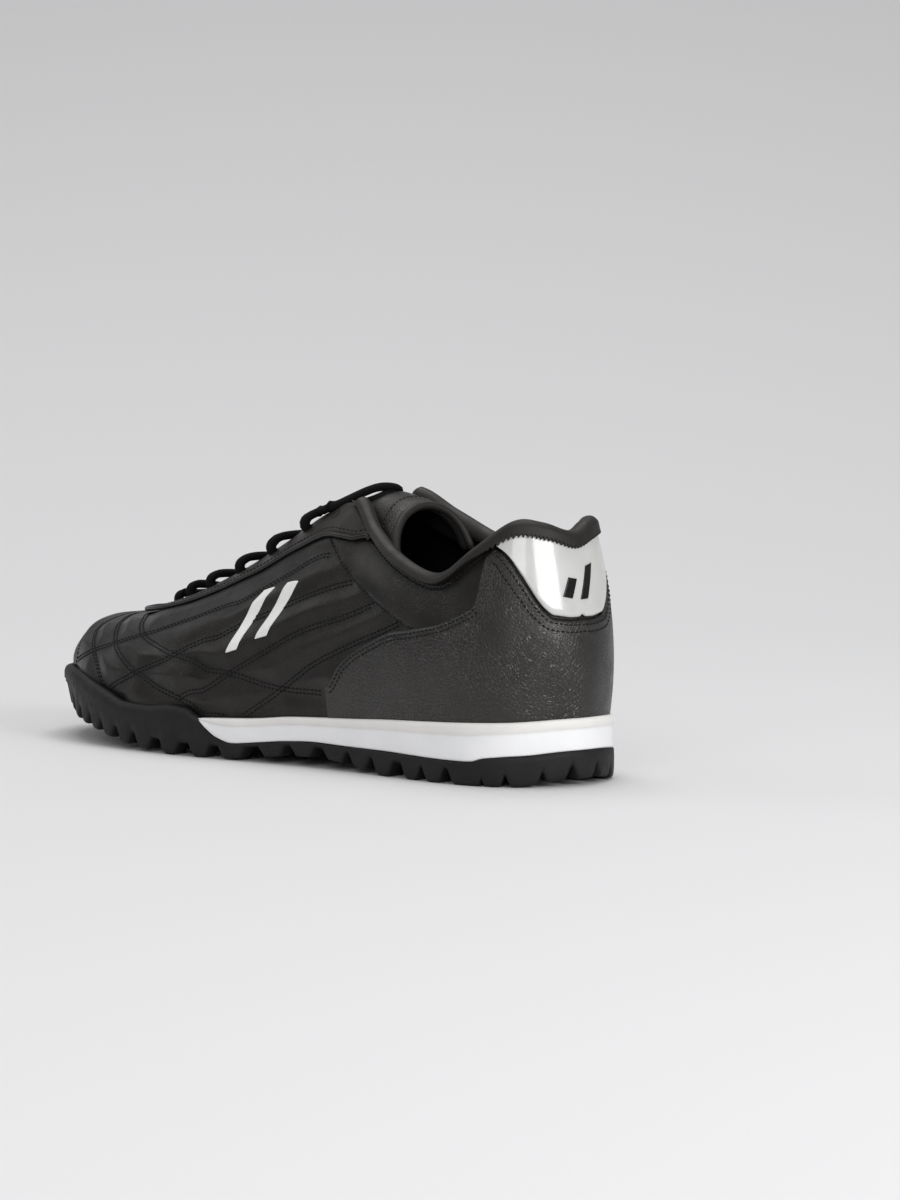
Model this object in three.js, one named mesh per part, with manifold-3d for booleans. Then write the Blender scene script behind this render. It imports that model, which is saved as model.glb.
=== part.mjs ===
// Low turf shoe for the left foot, in millimetres.
// It points along +X, its outer side faces +Y and it stands on its studs at z = 0.

import * as THREE from 'three';
import { mergeVertices } from 'three/addons/utils/BufferGeometryUtils.js';
import Module from 'manifold-3d';

const wasm = await Module();
wasm.setup();

// Driving dimensions
const LENGTH = 282;
const BALL_WIDTH = 100;
const HEEL_HEIGHT = 92;
const INSTEP_HEIGHT = 98;
const TOE_HEIGHT = 48;
const SOLE_HEIGHT = 24;

// Thicknesses and clearances
const WALL = 2;
const OVERLAY = 1;
const GAP = 0.3;
const SEAT = 0.45;
const INSOLE_THICKNESS = 3;
const TONGUE_THICKNESS = 3;
const ROLL_HEIGHT = 5;
const ROLL_DEPTH = 5.4;
const SOLE_LIP = 3.5;
const SOLE_TUCK = 4;

// Facing, eyelets and lace; the first and the last eyelet are placed by section
const EYESTAY_WIDTH = 18;
const EYELET_COUNT = 7;
const FIRST_EYELET = 12.9;
const LAST_EYELET = 7.3;
const EYELET_DIAMETER = 3.4;
const EYELET_INSET = 6;
const LACE_WIDTH = 4.6;
const LACE_THICKNESS = 1.3;
const LACE_RISE = 2.5;
const TOP_LACE_RISE = 5;
const LACE_SLACK = 0.4;
const LACE_START = 0.3;
const LACE_STEPS = 5;

// Fineness of the facets
const UPPER_ROWS = 6;
const STEPS_A_SECTION = 2;

// One row a section from the heel to the toe tip. The feather line lies at `at` along the length and
// `outer` and `inner` to each side, as shares of LENGTH and BALL_WIDTH. The top edge has the same columns,
// and its height is a share of the size that `follows` names. `lean` and `roll` are the degrees that
// the skin leans out at the feather and in at the top; `low` and `high` are how far each angle carries.
const SIZES = { heel: HEEL_HEIGHT, instep: INSTEP_HEIGHT, toe: TOE_HEIGHT };
const SECTION_COLUMNS = ['follows', 'at', 'outer', 'inner', 'topAt', 'topOuter', 'topInner',
  'topUp', 'topUpInner', 'lean', 'roll', 'low', 'high'];
const SECTIONS = [
  ['heel', 0.000, 0.000, 0.000, 0.031, 0.000, 0.000, 0.918, 0.918, 10, 14, 0.36, 0.34],
  ['heel', 0.013, 0.140, 0.140, 0.040, 0.105, 0.103, 0.951, 0.951, 10, 14, 0.36, 0.34],
  ['heel', 0.045, 0.258, 0.252, 0.062, 0.190, 0.186, 0.957, 0.962, 9, 15, 0.36, 0.34],
  ['heel', 0.098, 0.328, 0.322, 0.108, 0.245, 0.240, 0.859, 0.900, 8, 18, 0.36, 0.34],
  ['heel', 0.165, 0.352, 0.338, 0.168, 0.270, 0.262, 0.750, 0.820, 8, 22, 0.38, 0.34],
  ['heel', 0.245, 0.356, 0.318, 0.243, 0.258, 0.245, 0.799, 0.860, 9, 30, 0.40, 0.34],
  ['instep', 0.330, 0.364, 0.296, 0.317, 0.205, 0.195, 0.847, 0.905, 12, 36, 0.42, 0.34],
  ['instep', 0.415, 0.388, 0.302, 0.377, 0.145, 0.140, 0.964, 0.990, 13, 42, 0.42, 0.34],
  ['instep', 0.500, 0.434, 0.345, 0.450, 0.098, 0.098, 0.918, 0.925, 12, 46, 0.43, 0.34],
  ['instep', 0.585, 0.477, 0.412, 0.527, 0.088, 0.088, 0.811, 0.811, 11, 50, 0.44, 0.34],
  ['instep', 0.665, 0.500, 0.466, 0.601, 0.080, 0.080, 0.714, 0.714, 10, 56, 0.45, 0.36],
  ['instep', 0.745, 0.495, 0.492, 0.672, 0.072, 0.075, 0.633, 0.633, 9, 62, 0.46, 0.38],
  ['instep', 0.820, 0.455, 0.485, 0.722, 0.063, 0.072, 0.580, 0.580, 8, 68, 0.46, 0.42],
  ['toe', 0.890, 0.382, 0.432, 0.757, 0.050, 0.066, 1.100, 1.100, 7, 77, 0.45, 0.48],
  ['toe', 0.948, 0.268, 0.330, 0.779, 0.030, 0.054, 1.055, 1.055, 6, 84, 0.44, 0.54],
  ['toe', 0.986, 0.115, 0.180, 0.789, 0.006, 0.036, 1.040, 1.040, 6, 87, 0.44, 0.56],
  ['toe', 1.000, -0.030, 0.030, 0.791, -0.016, 0.016, 1.035, 1.035, 6, 87, 0.44, 0.56],
];

// One row a station along the sole, heights as shares of SOLE_HEIGHT: the rim that holds the upper,
// the underside of the white wedge, the underside of the black plate and the tips of its studs.
const SOLE_COLUMNS = ['at', 'rim', 'wedge', 'plate', 'tip'];
const SOLE_STATIONS = [
  [0.000, 0.992, 0.525, 0.300, 0.100],
  [0.030, 0.960, 0.470, 0.230, 0.015],
  [0.045, 0.945, 0.455, 0.215, 0.000],
  [0.100, 0.915, 0.392, 0.208, 0.000],
  [0.240, 0.845, 0.383, 0.212, 0.000],
  [0.300, 0.805, 0.383, 0.265, 0.085],
  [0.370, 0.765, 0.396, 0.300, 0.155],
  [0.420, 0.735, 0.367, 0.285, 0.130],
  [0.470, 0.675, 0.308, 0.230, 0.075],
  [0.510, 0.645, 0.267, 0.185, 0.025],
  [0.535, 0.630, 0.338, 0.183, 0.000],
  [0.555, 0.617, 0.479, 0.183, 0.000],
  [0.566, 0.610, 0.575, 0.183, 0.000],
  [0.596, 0.742, 0.575, 0.183, 0.000],
  [0.622, 0.770, 0.575, 0.185, 0.000],
  [0.665, 0.725, 0.575, 0.235, 0.045],
  [0.720, 0.742, 0.575, 0.300, 0.108],
  [0.760, 0.858, 0.575, 0.375, 0.188],
  [0.806, 0.967, 0.575, 0.470, 0.283],
  [0.870, 1.108, 0.575, 0.560, 0.370],
  [0.930, 1.125, 0.575, 0.650, 0.465],
  [1.000, 1.090, 0.575, 0.780, 0.600],
];
const WEDGE_TIP = 0.566;

// Edge studs of each side by section, with the width of the tip and how far it stands in from the edge
const STUD_COLUMNS = ['section', 'tip', 'inset'];
const EDGE_STUDS = [
  [0.00, 7.0, 0.0], [0.83, 7.0, 0.0], [1.64, 10.0, 0.0], [2.39, 6.0, 0.0], [3.01, 11.0, 0.0],
  [3.81, 6.0, 0.0], [4.33, 5.5, 0.0], [4.98, 6.0, 0.0], [5.50, 6.0, 0.0], [6.04, 7.0, 0.0],
  [6.71, 7.0, 0.0], [7.33, 7.5, 0.0], [8.11, 8.0, 0.0], [8.76, 5.5, 0.0], [9.42, 5.0, 0.0],
  [10.06, 5.0, 0.0], [10.56, 4.5, 0.0], [11.06, 4.5, 0.0], [11.52, 4.0, 0.0], [11.96, 3.5, 0.5],
  [12.45, 3.5, 2.5], [13.00, 4.0, 3.5], [13.55, 4.0, 3.5], [14.10, 4.0, 3.5], [14.70, 4.0, 3.5],
  [15.35, 4.0, 3.5], [16.00, 4.0, 3.5],
];
const STUD_FLARE = 4;
const STUD_DEPTH = 8;
const STUD_EMBED = 1.5;
const INNER_STUD_SIDES = 4;
const INNER_STUD_ROOT = 5;
const INNER_STUD_TIP = 3.2;
const INNER_STUD_INSET = 19;
const INNER_STUD_PITCH = 25;

// Upper edge of the heel counter by section, as the share of the way up the skin
const COUNTER_COLUMNS = ['section', 'up'];
const COUNTER_EDGE = [
  [0.00, 0.585], [0.50, 0.575], [0.85, 0.575], [1.10, 0.605], [1.70, 0.765], [2.10, 0.880],
  [2.40, 0.955], [2.52, 0.985], [2.66, 0.985], [2.85, 0.740], [3.00, 0.700], [3.90, 0.710],
  [4.70, 0.620], [5.30, 0.480], [5.90, 0.310], [6.20, 0.190],
];
const COUNTER_FRONT = 6.2;
const TAB_CORNER = 2.4;
const TAB_CLEARANCE = 0.014;

// Width of the facing by section, as a share of EYESTAY_WIDTH
const EYESTAY_COLUMNS = ['section', 'width'];
const EYESTAY_ROWS = [[6.95, 0.75], [8.0, 0.95], [9.0, 1.0], [13.0, 1.0], [14.5, 0.85], [16.0, 0.72]];
const EYESTAY_BACK = 6.95;

// The roll round the collar ends where the facing begins; over the heel its skirt hangs lower
const ROLL_FRONT = 6.72;
const ROLL_SKIRT = 1;
const HEEL_SKIRT = 2.6;

// Tongue by section: how far its edge runs down inside the upper, the crown over the throat edges,
// the lean of the crown towards the toe and the room it leaves at the sides, in shares of BALL_WIDTH
const TONGUE_COLUMNS = ['section', 'leg', 'crown', 'lean', 'room'];
const TONGUE_ROWS = [
  [5.5, 0.020, 0.170, 0.080, 0.078],
  [6.0, 0.020, 0.145, 0.060, 0.076],
  [6.6, 0.030, 0.090, 0.030, 0.072],
  [7.1, 0.060, 0.035, 0.000, 0.030],
  [8.0, 0.090, 0.025, 0.000, 0.026],
  [10.0, 0.110, 0.020, 0.000, 0.026],
  [12.0, 0.110, 0.015, 0.000, 0.026],
  [14.0, 0.090, 0.008, 0.000, 0.026],
];

// Numbers

function namedRows(columns, rows) {
  return rows.map((row) => Object.fromEntries(columns.map((name, i) => [name, row[i]])));
}

// Smooth curve through table rows that never overshoots between two of them
function tableCurve(rows, key, value) {
  const x = rows.map((row) => row[key]);
  const y = rows.map((row) => row[value]);
  const slope = x.slice(1).map((_, i) => (y[i + 1] - y[i]) / (x[i + 1] - x[i]));
  const tangent = x.map((_, i) => {
    if (i === 0 || i === x.length - 1) return 0;
    if (slope[i - 1] * slope[i] <= 0) return 0;
    return (2 * slope[i - 1] * slope[i]) / (slope[i - 1] + slope[i]);
  });
  return (at) => {
    const a = THREE.MathUtils.clamp(at, x[0], x[x.length - 1]);
    let i = 0;
    while (i < x.length - 2 && a > x[i + 1]) i += 1;
    const h = x[i + 1] - x[i];
    const t = (a - x[i]) / h;
    const rise = (3 - 2 * t) * t * t;
    const out = t * (1 - t) * (1 - t) * h * tangent[i];
    const back = t * t * (t - 1) * h * tangent[i + 1];
    return y[i] + (y[i + 1] - y[i]) * rise + out + back;
  };
}

// Skin of the upper: sections run 0 at the heel to TOE at the toe tip, minus on the inner side

const sections = namedRows(SECTION_COLUMNS, SECTIONS);
const TOE = sections.length - 1;

function sectionValues(row, side) {
  const inner = side < 0;
  return [
    row.at * LENGTH,
    (inner ? -row.inner : row.outer) * BALL_WIDTH,
    row.topAt * LENGTH,
    (inner ? -row.topInner : row.topOuter) * BALL_WIDTH,
    (inner ? row.topUpInner : row.topUp) * SIZES[row.follows],
    row.lean,
    row.roll,
    row.low,
    row.high,
  ];
}

const loop = [
  ...sections.map((row) => sectionValues(row, 1)),
  ...sections.slice(1, TOE).reverse().map((row) => sectionValues(row, -1)),
];

function sectionAt(u) {
  const count = loop.length;
  const turn = THREE.MathUtils.euclideanModulo(u, count);
  const i = Math.floor(turn);
  const f = turn - i;
  const [a, b, c, d] = [i + count - 1, i, i + 1, i + 2].map((k) => loop[k % count]);
  return b.map((_, k) => {
    const cubic = -a[k] + 3 * b[k] - 3 * c[k] + d[k];
    const square = 2 * a[k] - 5 * b[k] + 4 * c[k] - d[k];
    return 0.5 * (2 * b[k] + (c[k] - a[k]) * f + square * f * f + cubic * f * f * f);
  });
}

// Outline of the sole seen from above, and the same line moved inwards
function outline(u, inset = 0) {
  const step = 0.002;
  const [x, y] = sectionAt(u);
  const [x0, y0] = sectionAt(u - step);
  const [x1, y1] = sectionAt(u + step);
  const out = new THREE.Vector2(y0 - y1, x1 - x0).normalize();
  return { x: x - out.x * inset, y: y - out.y * inset, out };
}

const soleRows = namedRows(SOLE_COLUMNS, SOLE_STATIONS);
const soleCurves = Object.fromEntries(SOLE_COLUMNS.slice(1).map((name) => [
  name, tableCurve(soleRows, 'at', name)]));

function soleHeight(name, x) {
  return soleCurves[name](x / LENGTH) * SOLE_HEIGHT;
}

function skinPoint(u, v) {
  const [, , topX, topY, topZ, lean, roll, low, high] = sectionAt(u);
  const foot = outline(u, SOLE_LIP);
  const bottom = new THREE.Vector3(foot.x, foot.y, soleHeight('rim', foot.x) - SOLE_TUCK);
  const top = new THREE.Vector3(topX, topY, topZ);
  const reach = bottom.distanceTo(top);
  const inward = new THREE.Vector3(topX - foot.x, topY - foot.y, 0).normalize();
  const leanAngle = THREE.MathUtils.degToRad(lean);
  const rollAngle = THREE.MathUtils.degToRad(roll);
  const outward = new THREE.Vector3(foot.out.x, foot.out.y, 0);
  const rising = outward.multiplyScalar(Math.sin(leanAngle)).setZ(Math.cos(leanAngle));
  const closing = inward.multiplyScalar(Math.sin(rollAngle)).setZ(Math.cos(rollAngle));
  const a = bottom.clone().addScaledVector(rising, reach * low);
  const b = top.clone().addScaledVector(closing, -reach * high);
  return new THREE.CubicBezierCurve3(bottom, a, b, top).getPoint(v);
}

function skinFrame(u, v) {
  const step = 0.002;
  const along = skinPoint(u + step, v).sub(skinPoint(u - step, v));
  const up = skinPoint(u, Math.min(v + step, 1)).sub(skinPoint(u, Math.max(v - step, 0)));
  const normal = up.clone().cross(along).normalize();
  return { point: skinPoint(u, v), normal, up: up.normalize(), along: along.normalize() };
}

function skin(u, v, offset = 0) {
  const { point, normal } = skinFrame(u, v);
  return point.addScaledVector(normal, offset);
}

// The share of the way up that lies the given distance below the top edge
function belowTop(u, distance) {
  const steps = 60;
  let walked = 0;
  let last = skinPoint(u, 1);
  for (let k = steps - 1; k >= 0; k -= 1) {
    const next = skinPoint(u, k / steps);
    const piece = next.distanceTo(last);
    if (walked + piece >= distance) return (k + 1 - (distance - walked) / piece) / steps;
    walked += piece;
    last = next;
  }
  return 0;
}

// Solids

function solidFromTriangles(points, triangles) {
  const raw = new THREE.BufferGeometry();
  raw.setAttribute('position', new THREE.Float32BufferAttribute(points.flatMap((p) => [p.x, p.y, p.z]), 3));
  raw.setIndex(triangles.flat());
  const merged = mergeVertices(raw, 1e-4);
  const index = [...merged.index.array];
  const kept = [];
  for (let i = 0; i < index.length; i += 3) {
    const [a, b, c] = index.slice(i, i + 3);
    if (a !== b && b !== c && c !== a) kept.push(a, b, c);
  }
  const position = merged.attributes.position;
  const [a, b, c] = [new THREE.Vector3(), new THREE.Vector3(), new THREE.Vector3()];
  let volume = 0;
  for (let i = 0; i < kept.length; i += 3) {
    a.fromBufferAttribute(position, kept[i]);
    b.fromBufferAttribute(position, kept[i + 1]);
    c.fromBufferAttribute(position, kept[i + 2]);
    volume += a.dot(b.cross(c));
  }
  if (volume < 0) kept.reverse();
  merged.setIndex(kept);
  return merged;
}

// Skin over a row of loops with equal counts of points, joined end to end or closed at both ends
function loft(loops, { joined = false } = {}) {
  const count = loops[0].length;
  const points = loops.flat();
  const triangles = [];
  const last = joined ? loops.length : loops.length - 1;
  for (let i = 0; i < last; i += 1) {
    for (let k = 0; k < count; k += 1) {
      const here = i * count;
      const next = ((i + 1) % loops.length) * count;
      const k1 = (k + 1) % count;
      triangles.push([here + k, next + k, next + k1], [here + k, next + k1, here + k1]);
    }
  }
  if (!joined) {
    triangles.push(...capTriangles(count));
    const end = (loops.length - 1) * count;
    triangles.push(...capTriangles(count).map((corners) => corners.reverse().map((k) => end + k)));
  }
  return solidFromTriangles(points, triangles);
}

// Triangles that close a loop, rung by rung between its first half and its second half
function capTriangles(count) {
  const triangles = [];
  for (let a = 0, d = count - 1; a + 1 < d; a += 1, d -= 1) {
    triangles.push([a, a + 1, d]);
    if (a + 1 < d - 1) triangles.push([a + 1, d - 1, d]);
  }
  return triangles;
}

function toManifold(geometry) {
  const bare = geometry.clone();
  bare.deleteAttribute('normal');
  bare.deleteAttribute('uv');
  const merged = mergeVertices(bare, 1e-4);
  return new wasm.Manifold(new wasm.Mesh({
    numProp: 3,
    vertProperties: new Float32Array(merged.attributes.position.array),
    triVerts: new Uint32Array(merged.index.array),
  }));
}

function fromManifold(manifold) {
  const mesh = manifold.getMesh();
  const geometry = new THREE.BufferGeometry();
  geometry.setAttribute('position', new THREE.Float32BufferAttribute(mesh.vertProperties, 3));
  geometry.setIndex([...mesh.triVerts]);
  return geometry;
}

function joinAll(geometries) {
  return fromManifold(geometries.map(toManifold).reduce((a, b) => a.add(b)));
}

function cutAll(geometry, cutters) {
  return fromManifold(cutters.map(toManifold).reduce((a, b) => a.subtract(b), toManifold(geometry)));
}

function range(count) {
  return [...Array(count).keys()];
}

function spread(from, to, steps) {
  return range(steps + 1).map((i) => from + ((to - from) * i) / steps);
}

// A sheet of even thickness laid over the skin between a lower and an upper edge
function overlay(us, rows, lower, upper, inside, outside) {
  return loft(us.map((u) => {
    const vs = spread(lower(u), upper(u), rows);
    return [
      ...vs.map((v) => skin(u, v, outside)),
      ...vs.reverse().map((v) => skin(u, v, inside)),
    ];
  }));
}

// Sole

// Stations from heel to toe. The upper and the room for it in the sole share them, so that their
// facets stay parallel.
const stations = spread(0, TOE, TOE * STEPS_A_SECTION);

// Stations of the sole, closer together where the wedge runs out into the black wall
function soleStations(until) {
  const tip = sectionWhere(WEDGE_TIP);
  const fine = [-0.7, -0.4, -0.2, -0.1, 0, 0.1, 0.25, 0.4, 0.7].map((d) => tip + d);
  const all = [...stations.filter((s) => Math.abs(s - tip) > 0.85), ...fine];
  return all.sort((a, b) => a - b).filter((s) => s <= until + 1e-6);
}

// The same stations between two sections, and the corners of an edge between them
function columns(from, to, corners = []) {
  const all = [...stations, ...corners].flatMap((s) => [s, -s, 2 * TOE - s]);
  const kept = all.filter((s) => s > from + 0.04 && s < to - 0.04).sort((a, b) => a - b);
  return [from, ...kept.filter((s, i) => i === 0 || s - kept[i - 1] > 0.04), to];
}

function sectionWhere(share) {
  let [low, high] = [0, TOE];
  for (let k = 0; k < 40; k += 1) {
    const middle = (low + high) / 2;
    if (sectionAt(middle)[0] < share * LENGTH) low = middle;
    else high = middle;
  }
  return low;
}

// A profile row is [inset, height]; the solid is lofted from heel to toe, each loop running up the outer
// side, over, and down the inner side
function soleSolid(places, profile) {
  return loft(places.map((s) => {
    const onAxis = s === 0 || s === TOE;
    const side = (sign) => profile.map((edge) => {
      const x = outline(s, 0).x;
      const [inset, height] = edge(x);
      const { x: px, y } = outline(sign * s, inset);
      return new THREE.Vector3(px, y, height(px));
    });
    return [...side(1), ...side(onAxis ? 1 : -1).reverse()];
  }));
}

function floorHeight(x) {
  return soleHeight('rim', x) - SOLE_TUCK - GAP;
}

function blackTop(x) {
  if (x < WEDGE_TIP * LENGTH) return Math.min(soleHeight('wedge', x), soleHeight('rim', x)) - GAP;
  return soleHeight('rim', x);
}

// The room in the sole that the upper stands in, with a clearance all round
function footRoom() {
  const wall = 1 / UPPER_ROWS;
  return loft(stations.map((s) => {
    const side = (sign) => {
      const foot = skin(sign * s, 0, GAP);
      const floor = foot.clone().setZ(floorHeight(foot.x));
      return [floor, foot, skin(sign * s, wall, GAP)];
    };
    const onAxis = s === 0 || s === TOE;
    return [...side(1), ...side(onAxis ? 1 : -1).reverse()];
  }));
}

function edgeStuds() {
  return namedRows(STUD_COLUMNS, EDGE_STUDS).flatMap((stud) => {
    const onAxis = stud.section === 0 || stud.section === TOE;
    return onAxis ? [edgeStud(stud.section, stud)] : [1, -1].map((side) => edgeStud(side * stud.section, stud));
  });
}

// A stud on the edge of the sole: four corners at the root and four at the tip
function edgeStud(u, stud) {
  const { x, y, out } = outline(u);
  const along = new THREE.Vector2(-out.y, out.x);
  const ring = (width, from, to, height) => [[-1, from], [1, from], [1, to], [-1, to]].map(([s, inset]) => {
    const px = x + (along.x * s * width) / 2 - out.x * (inset + stud.inset);
    const py = y + (along.y * s * width) / 2 - out.y * (inset + stud.inset);
    return new THREE.Vector3(px, py, height(px));
  });
  return loft([
    ring(stud.tip + STUD_FLARE, 0.5, STUD_DEPTH, (px) => soleHeight('plate', px) + STUD_EMBED),
    ring(stud.tip, 1.1, STUD_DEPTH - 1.6, (px) => soleHeight('tip', px)),
  ]);
}

function innerStud(x, y) {
  const ring = (radius, height) => range(INNER_STUD_SIDES).map((k) => {
    const turn = ((k + 0.5) * 2 * Math.PI) / INNER_STUD_SIDES;
    const px = x + radius * Math.cos(turn);
    return new THREE.Vector3(px, y + radius * Math.sin(turn), height(px));
  });
  return loft([
    ring(INNER_STUD_ROOT, (px) => soleHeight('plate', px) + STUD_EMBED),
    ring(INNER_STUD_TIP, (px) => soleHeight('tip', px)),
  ]);
}

function innerStuds() {
  const studs = [];
  const ends = [0.09 * LENGTH, 0.93 * LENGTH];
  const count = Math.floor((ends[1] - ends[0]) / INNER_STUD_PITCH);
  for (const x of spread(ends[0], ends[1], count)) {
    const s = sectionWhere(x / LENGTH);
    const outer = outline(s).y - INNER_STUD_INSET;
    const inner = outline(-s).y + INNER_STUD_INSET;
    const across = Math.max(1, Math.floor((outer - inner) / INNER_STUD_PITCH));
    for (const y of spread(inner, outer, across)) {
      studs.push(innerStud(x, y));
    }
  }
  return studs;
}

function makeOutsole() {
  const body = soleSolid(soleStations(TOE), [
    () => [1.4, (x) => soleHeight('plate', x)],
    () => [0.3, (x) => soleHeight('plate', x) + 1.2],
    () => [0, (x) => Math.max(blackTop(x) - 0.7, soleHeight('plate', x) + 1.4)],
    () => [0.7, (x) => blackTop(x)],
  ]);
  return joinAll([cutAll(body, [footRoom()]), ...edgeStuds(), ...innerStuds()]);
}

function makeMidsole() {
  const underside = (x) => soleHeight('wedge', x);
  const rim = (x) => soleHeight('rim', x);
  const between = (share, x) => underside(x) + (rim(x) - underside(x)) * share;
  const tip = sectionWhere(WEDGE_TIP) - 0.1;
  const body = soleSolid(soleStations(tip), [
    () => [0.6, underside],
    () => [1.0, (x) => between(0.66, x)],
    () => [0, (x) => between(0.74, x)],
    () => [0, (x) => between(0.95, x)],
    () => [0.6, rim],
  ]);
  return cutAll(body, [footRoom()]);
}

function makeInsole() {
  const inset = SOLE_LIP + WALL + 2 * GAP;
  const bottom = (x) => floorHeight(x) + GAP;
  const top = (x) => bottom(x) + INSOLE_THICKNESS;
  return soleSolid(stations, [
    () => [inset, bottom],
    () => [inset, top],
  ]);
}

// Upper and what is laid over it

const eyeletSections = spread(LAST_EYELET, FIRST_EYELET, EYELET_COUNT - 1);

function eyeletHole(u) {
  const v = belowTop(u, EYELET_INSET);
  const { point, normal, up, along } = skinFrame(u, v);
  const sides = 5;
  const radius = EYELET_DIAMETER / 2;
  const ring = (offset) => range(sides).map((k) => {
    const turn = (k * 2 * Math.PI) / sides;
    return point.clone()
      .addScaledVector(normal, offset)
      .addScaledVector(up, radius * Math.sin(turn))
      .addScaledVector(along, radius * Math.cos(turn));
  });
  return loft([ring(-2 * WALL), ring(2 * OVERLAY + 2)]);
}

function eyeletHoles() {
  return eyeletSections.flatMap((s) => [eyeletHole(s), eyeletHole(-s)]);
}

function makeUpper() {
  const vs = spread(0, 1, UPPER_ROWS);
  const inner = stations.slice(1, -1).reverse().map((s) => -s);
  const shell = loft([...stations, ...inner].map((u) => [
    ...vs.map((v) => skin(u, v)),
    ...[...vs].reverse().map((v) => skin(u, v, -WALL)),
  ]), { joined: true });
  return cutAll(shell, eyeletHoles());
}

const eyestayWidth = tableCurve(namedRows(EYESTAY_COLUMNS, EYESTAY_ROWS), 'section', 'width');

function eyestayLower(u) {
  const section = TOE - Math.abs(u - TOE);
  return belowTop(u, EYESTAY_WIDTH * eyestayWidth(section));
}

function makeEyestay() {
  const us = columns(EYESTAY_BACK, 2 * TOE - EYESTAY_BACK);
  const sheet = overlay(us, 3, eyestayLower, () => 1, SEAT, SEAT + OVERLAY);
  return cutAll(sheet, eyeletHoles());
}

const counterCorners = COUNTER_EDGE.map(([section]) => section);
const counterEdge = tableCurve(namedRows(COUNTER_COLUMNS, COUNTER_EDGE), 'section', 'up');

function counterBottom(u) {
  const { z } = skinPoint(u, 0);
  const rise = SOLE_TUCK + GAP + 0.4;
  const next = skinPoint(u, 0.1).z - z;
  return (0.1 * rise) / next;
}

function makeCounter() {
  const us = columns(-COUNTER_FRONT, COUNTER_FRONT, counterCorners);
  return overlay(us, 4, counterBottom, (u) => counterEdge(Math.abs(u)), SEAT, SEAT + OVERLAY);
}

function makeHeelTab() {
  const us = columns(-TAB_CORNER, TAB_CORNER, counterCorners);
  const lower = (u) => counterEdge(Math.abs(u)) + TAB_CLEARANCE;
  return overlay(us, 3, lower, () => 0.998, SEAT, SEAT + OVERLAY);
}

function makeCollarRoll() {
  const inside = SEAT + OVERLAY + SEAT;
  const outside = inside + OVERLAY;
  const us = columns(-ROLL_FRONT, ROLL_FRONT);
  return loft(us.map((u) => {
    const heel = THREE.MathUtils.smoothstep(3.3 - Math.abs(u), 0, 1);
    const skirt = ROLL_SKIRT + (HEEL_SKIRT - ROLL_SKIRT) * heel;
    const { point, normal, up } = skinFrame(u, 1);
    const section = [
      [outside, -skirt],
      [outside + 0.3, 0.35 * ROLL_HEIGHT],
      [0.3 * outside, 0.85 * ROLL_HEIGHT],
      [-0.35 * ROLL_DEPTH, ROLL_HEIGHT],
      [-0.8 * ROLL_DEPTH, 0.8 * ROLL_HEIGHT],
      [-ROLL_DEPTH, 0.45 * ROLL_HEIGHT],
      [-0.85 * ROLL_DEPTH, GAP],
      [inside, GAP],
      [inside, -skirt],
    ];
    return section.map(([o, t]) => point.clone().addScaledVector(normal, o).addScaledVector(up, t));
  }));
}

// Tongue: an arch under the throat whose sides run down inside the upper

const tongueRows = namedRows(TONGUE_COLUMNS, TONGUE_ROWS);
const tongueCurve = Object.fromEntries(TONGUE_COLUMNS.slice(1).map((name) => [
  name, tableCurve(tongueRows, 'section', name)]));

function tongueSection(s, depth) {
  const room = tongueCurve.room(s) * BALL_WIDTH + depth;
  const leg = tongueCurve.leg(s);
  const crown = tongueCurve.crown(s) * BALL_WIDTH;
  const lean = tongueCurve.lean(s) * BALL_WIDTH;
  const side = (sign) => [1 - leg, 1 - leg / 2, 1].map((v) => skin(sign * s, v, -room));
  const left = side(1);
  const right = side(-1).reverse();
  const over = spread(0, 1, 8).slice(1, -1).map((t) => {
    const arch = Math.sqrt(1 - (2 * t - 1) ** 2);
    const p = left[2].clone().lerp(right[0], t);
    p.z += crown * arch;
    p.x += lean * arch;
    return p;
  });
  return [...left, ...over, ...right];
}

function makeTongue() {
  const first = tongueRows[0].section;
  const last = tongueRows[tongueRows.length - 1].section;
  return loft(spread(first, last, 9).map((s) => [
    ...tongueSection(s, 0),
    ...tongueSection(s, TONGUE_THICKNESS).reverse(),
  ]));
}

// Lace

// Over the facing from an eyelet to the edge of the throat
function laceEnd(u) {
  const v = belowTop(u, EYELET_INSET);
  const lift = SEAT + OVERLAY + GAP + LACE_THICKNESS / 2 + LACE_SLACK;
  return { route: [skin(u, v, lift), skin(u, 1, lift + LACE_SLACK)], face: skinFrame(u, v).normal };
}

// Just inside the edge of the throat, beside the eyelet on its toe side or, with -1, its heel side
function laceUnder(u, way = 1) {
  const s = u + Math.sign(u) * way * LACE_START;
  const p = skinPoint(s, 1).lerp(skinPoint(-s, 1), 0.2);
  p.z += LACE_THICKNESS;
  return { route: [p], face: new THREE.Vector3(0, 0, 1) };
}

function laceStrip(from, to, rise) {
  const [a, b] = [from.route[from.route.length - 1], to.route[to.route.length - 1]];
  const middle = a.clone().lerp(b, 0.5);
  middle.z += rise;
  const points = [...from.route, middle, ...to.route.slice().reverse()];
  const route = new THREE.CatmullRomCurve3(points, false, 'centripetal');
  const up = new THREE.Vector3(0, 0, 1);
  return loft(spread(0, 1, LACE_STEPS).map((t) => {
    const p = route.getPointAt(t);
    const ahead = route.getTangentAt(t);
    const near = t < 0.5 ? from.face : to.face;
    const face = near.clone().lerp(up, 1 - Math.abs(2 * t - 1));
    face.addScaledVector(ahead, -face.dot(ahead)).normalize();
    const across = ahead.clone().cross(face);
    return [[-0.5, 0], [-0.34, 0.5], [0.34, 0.5], [0.5, 0], [0.34, -0.5], [-0.34, -0.5]].map(([w, h]) => (
      p.clone().addScaledVector(across, w * LACE_WIDTH).addScaledVector(face, h * LACE_THICKNESS)));
  }));
}

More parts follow.
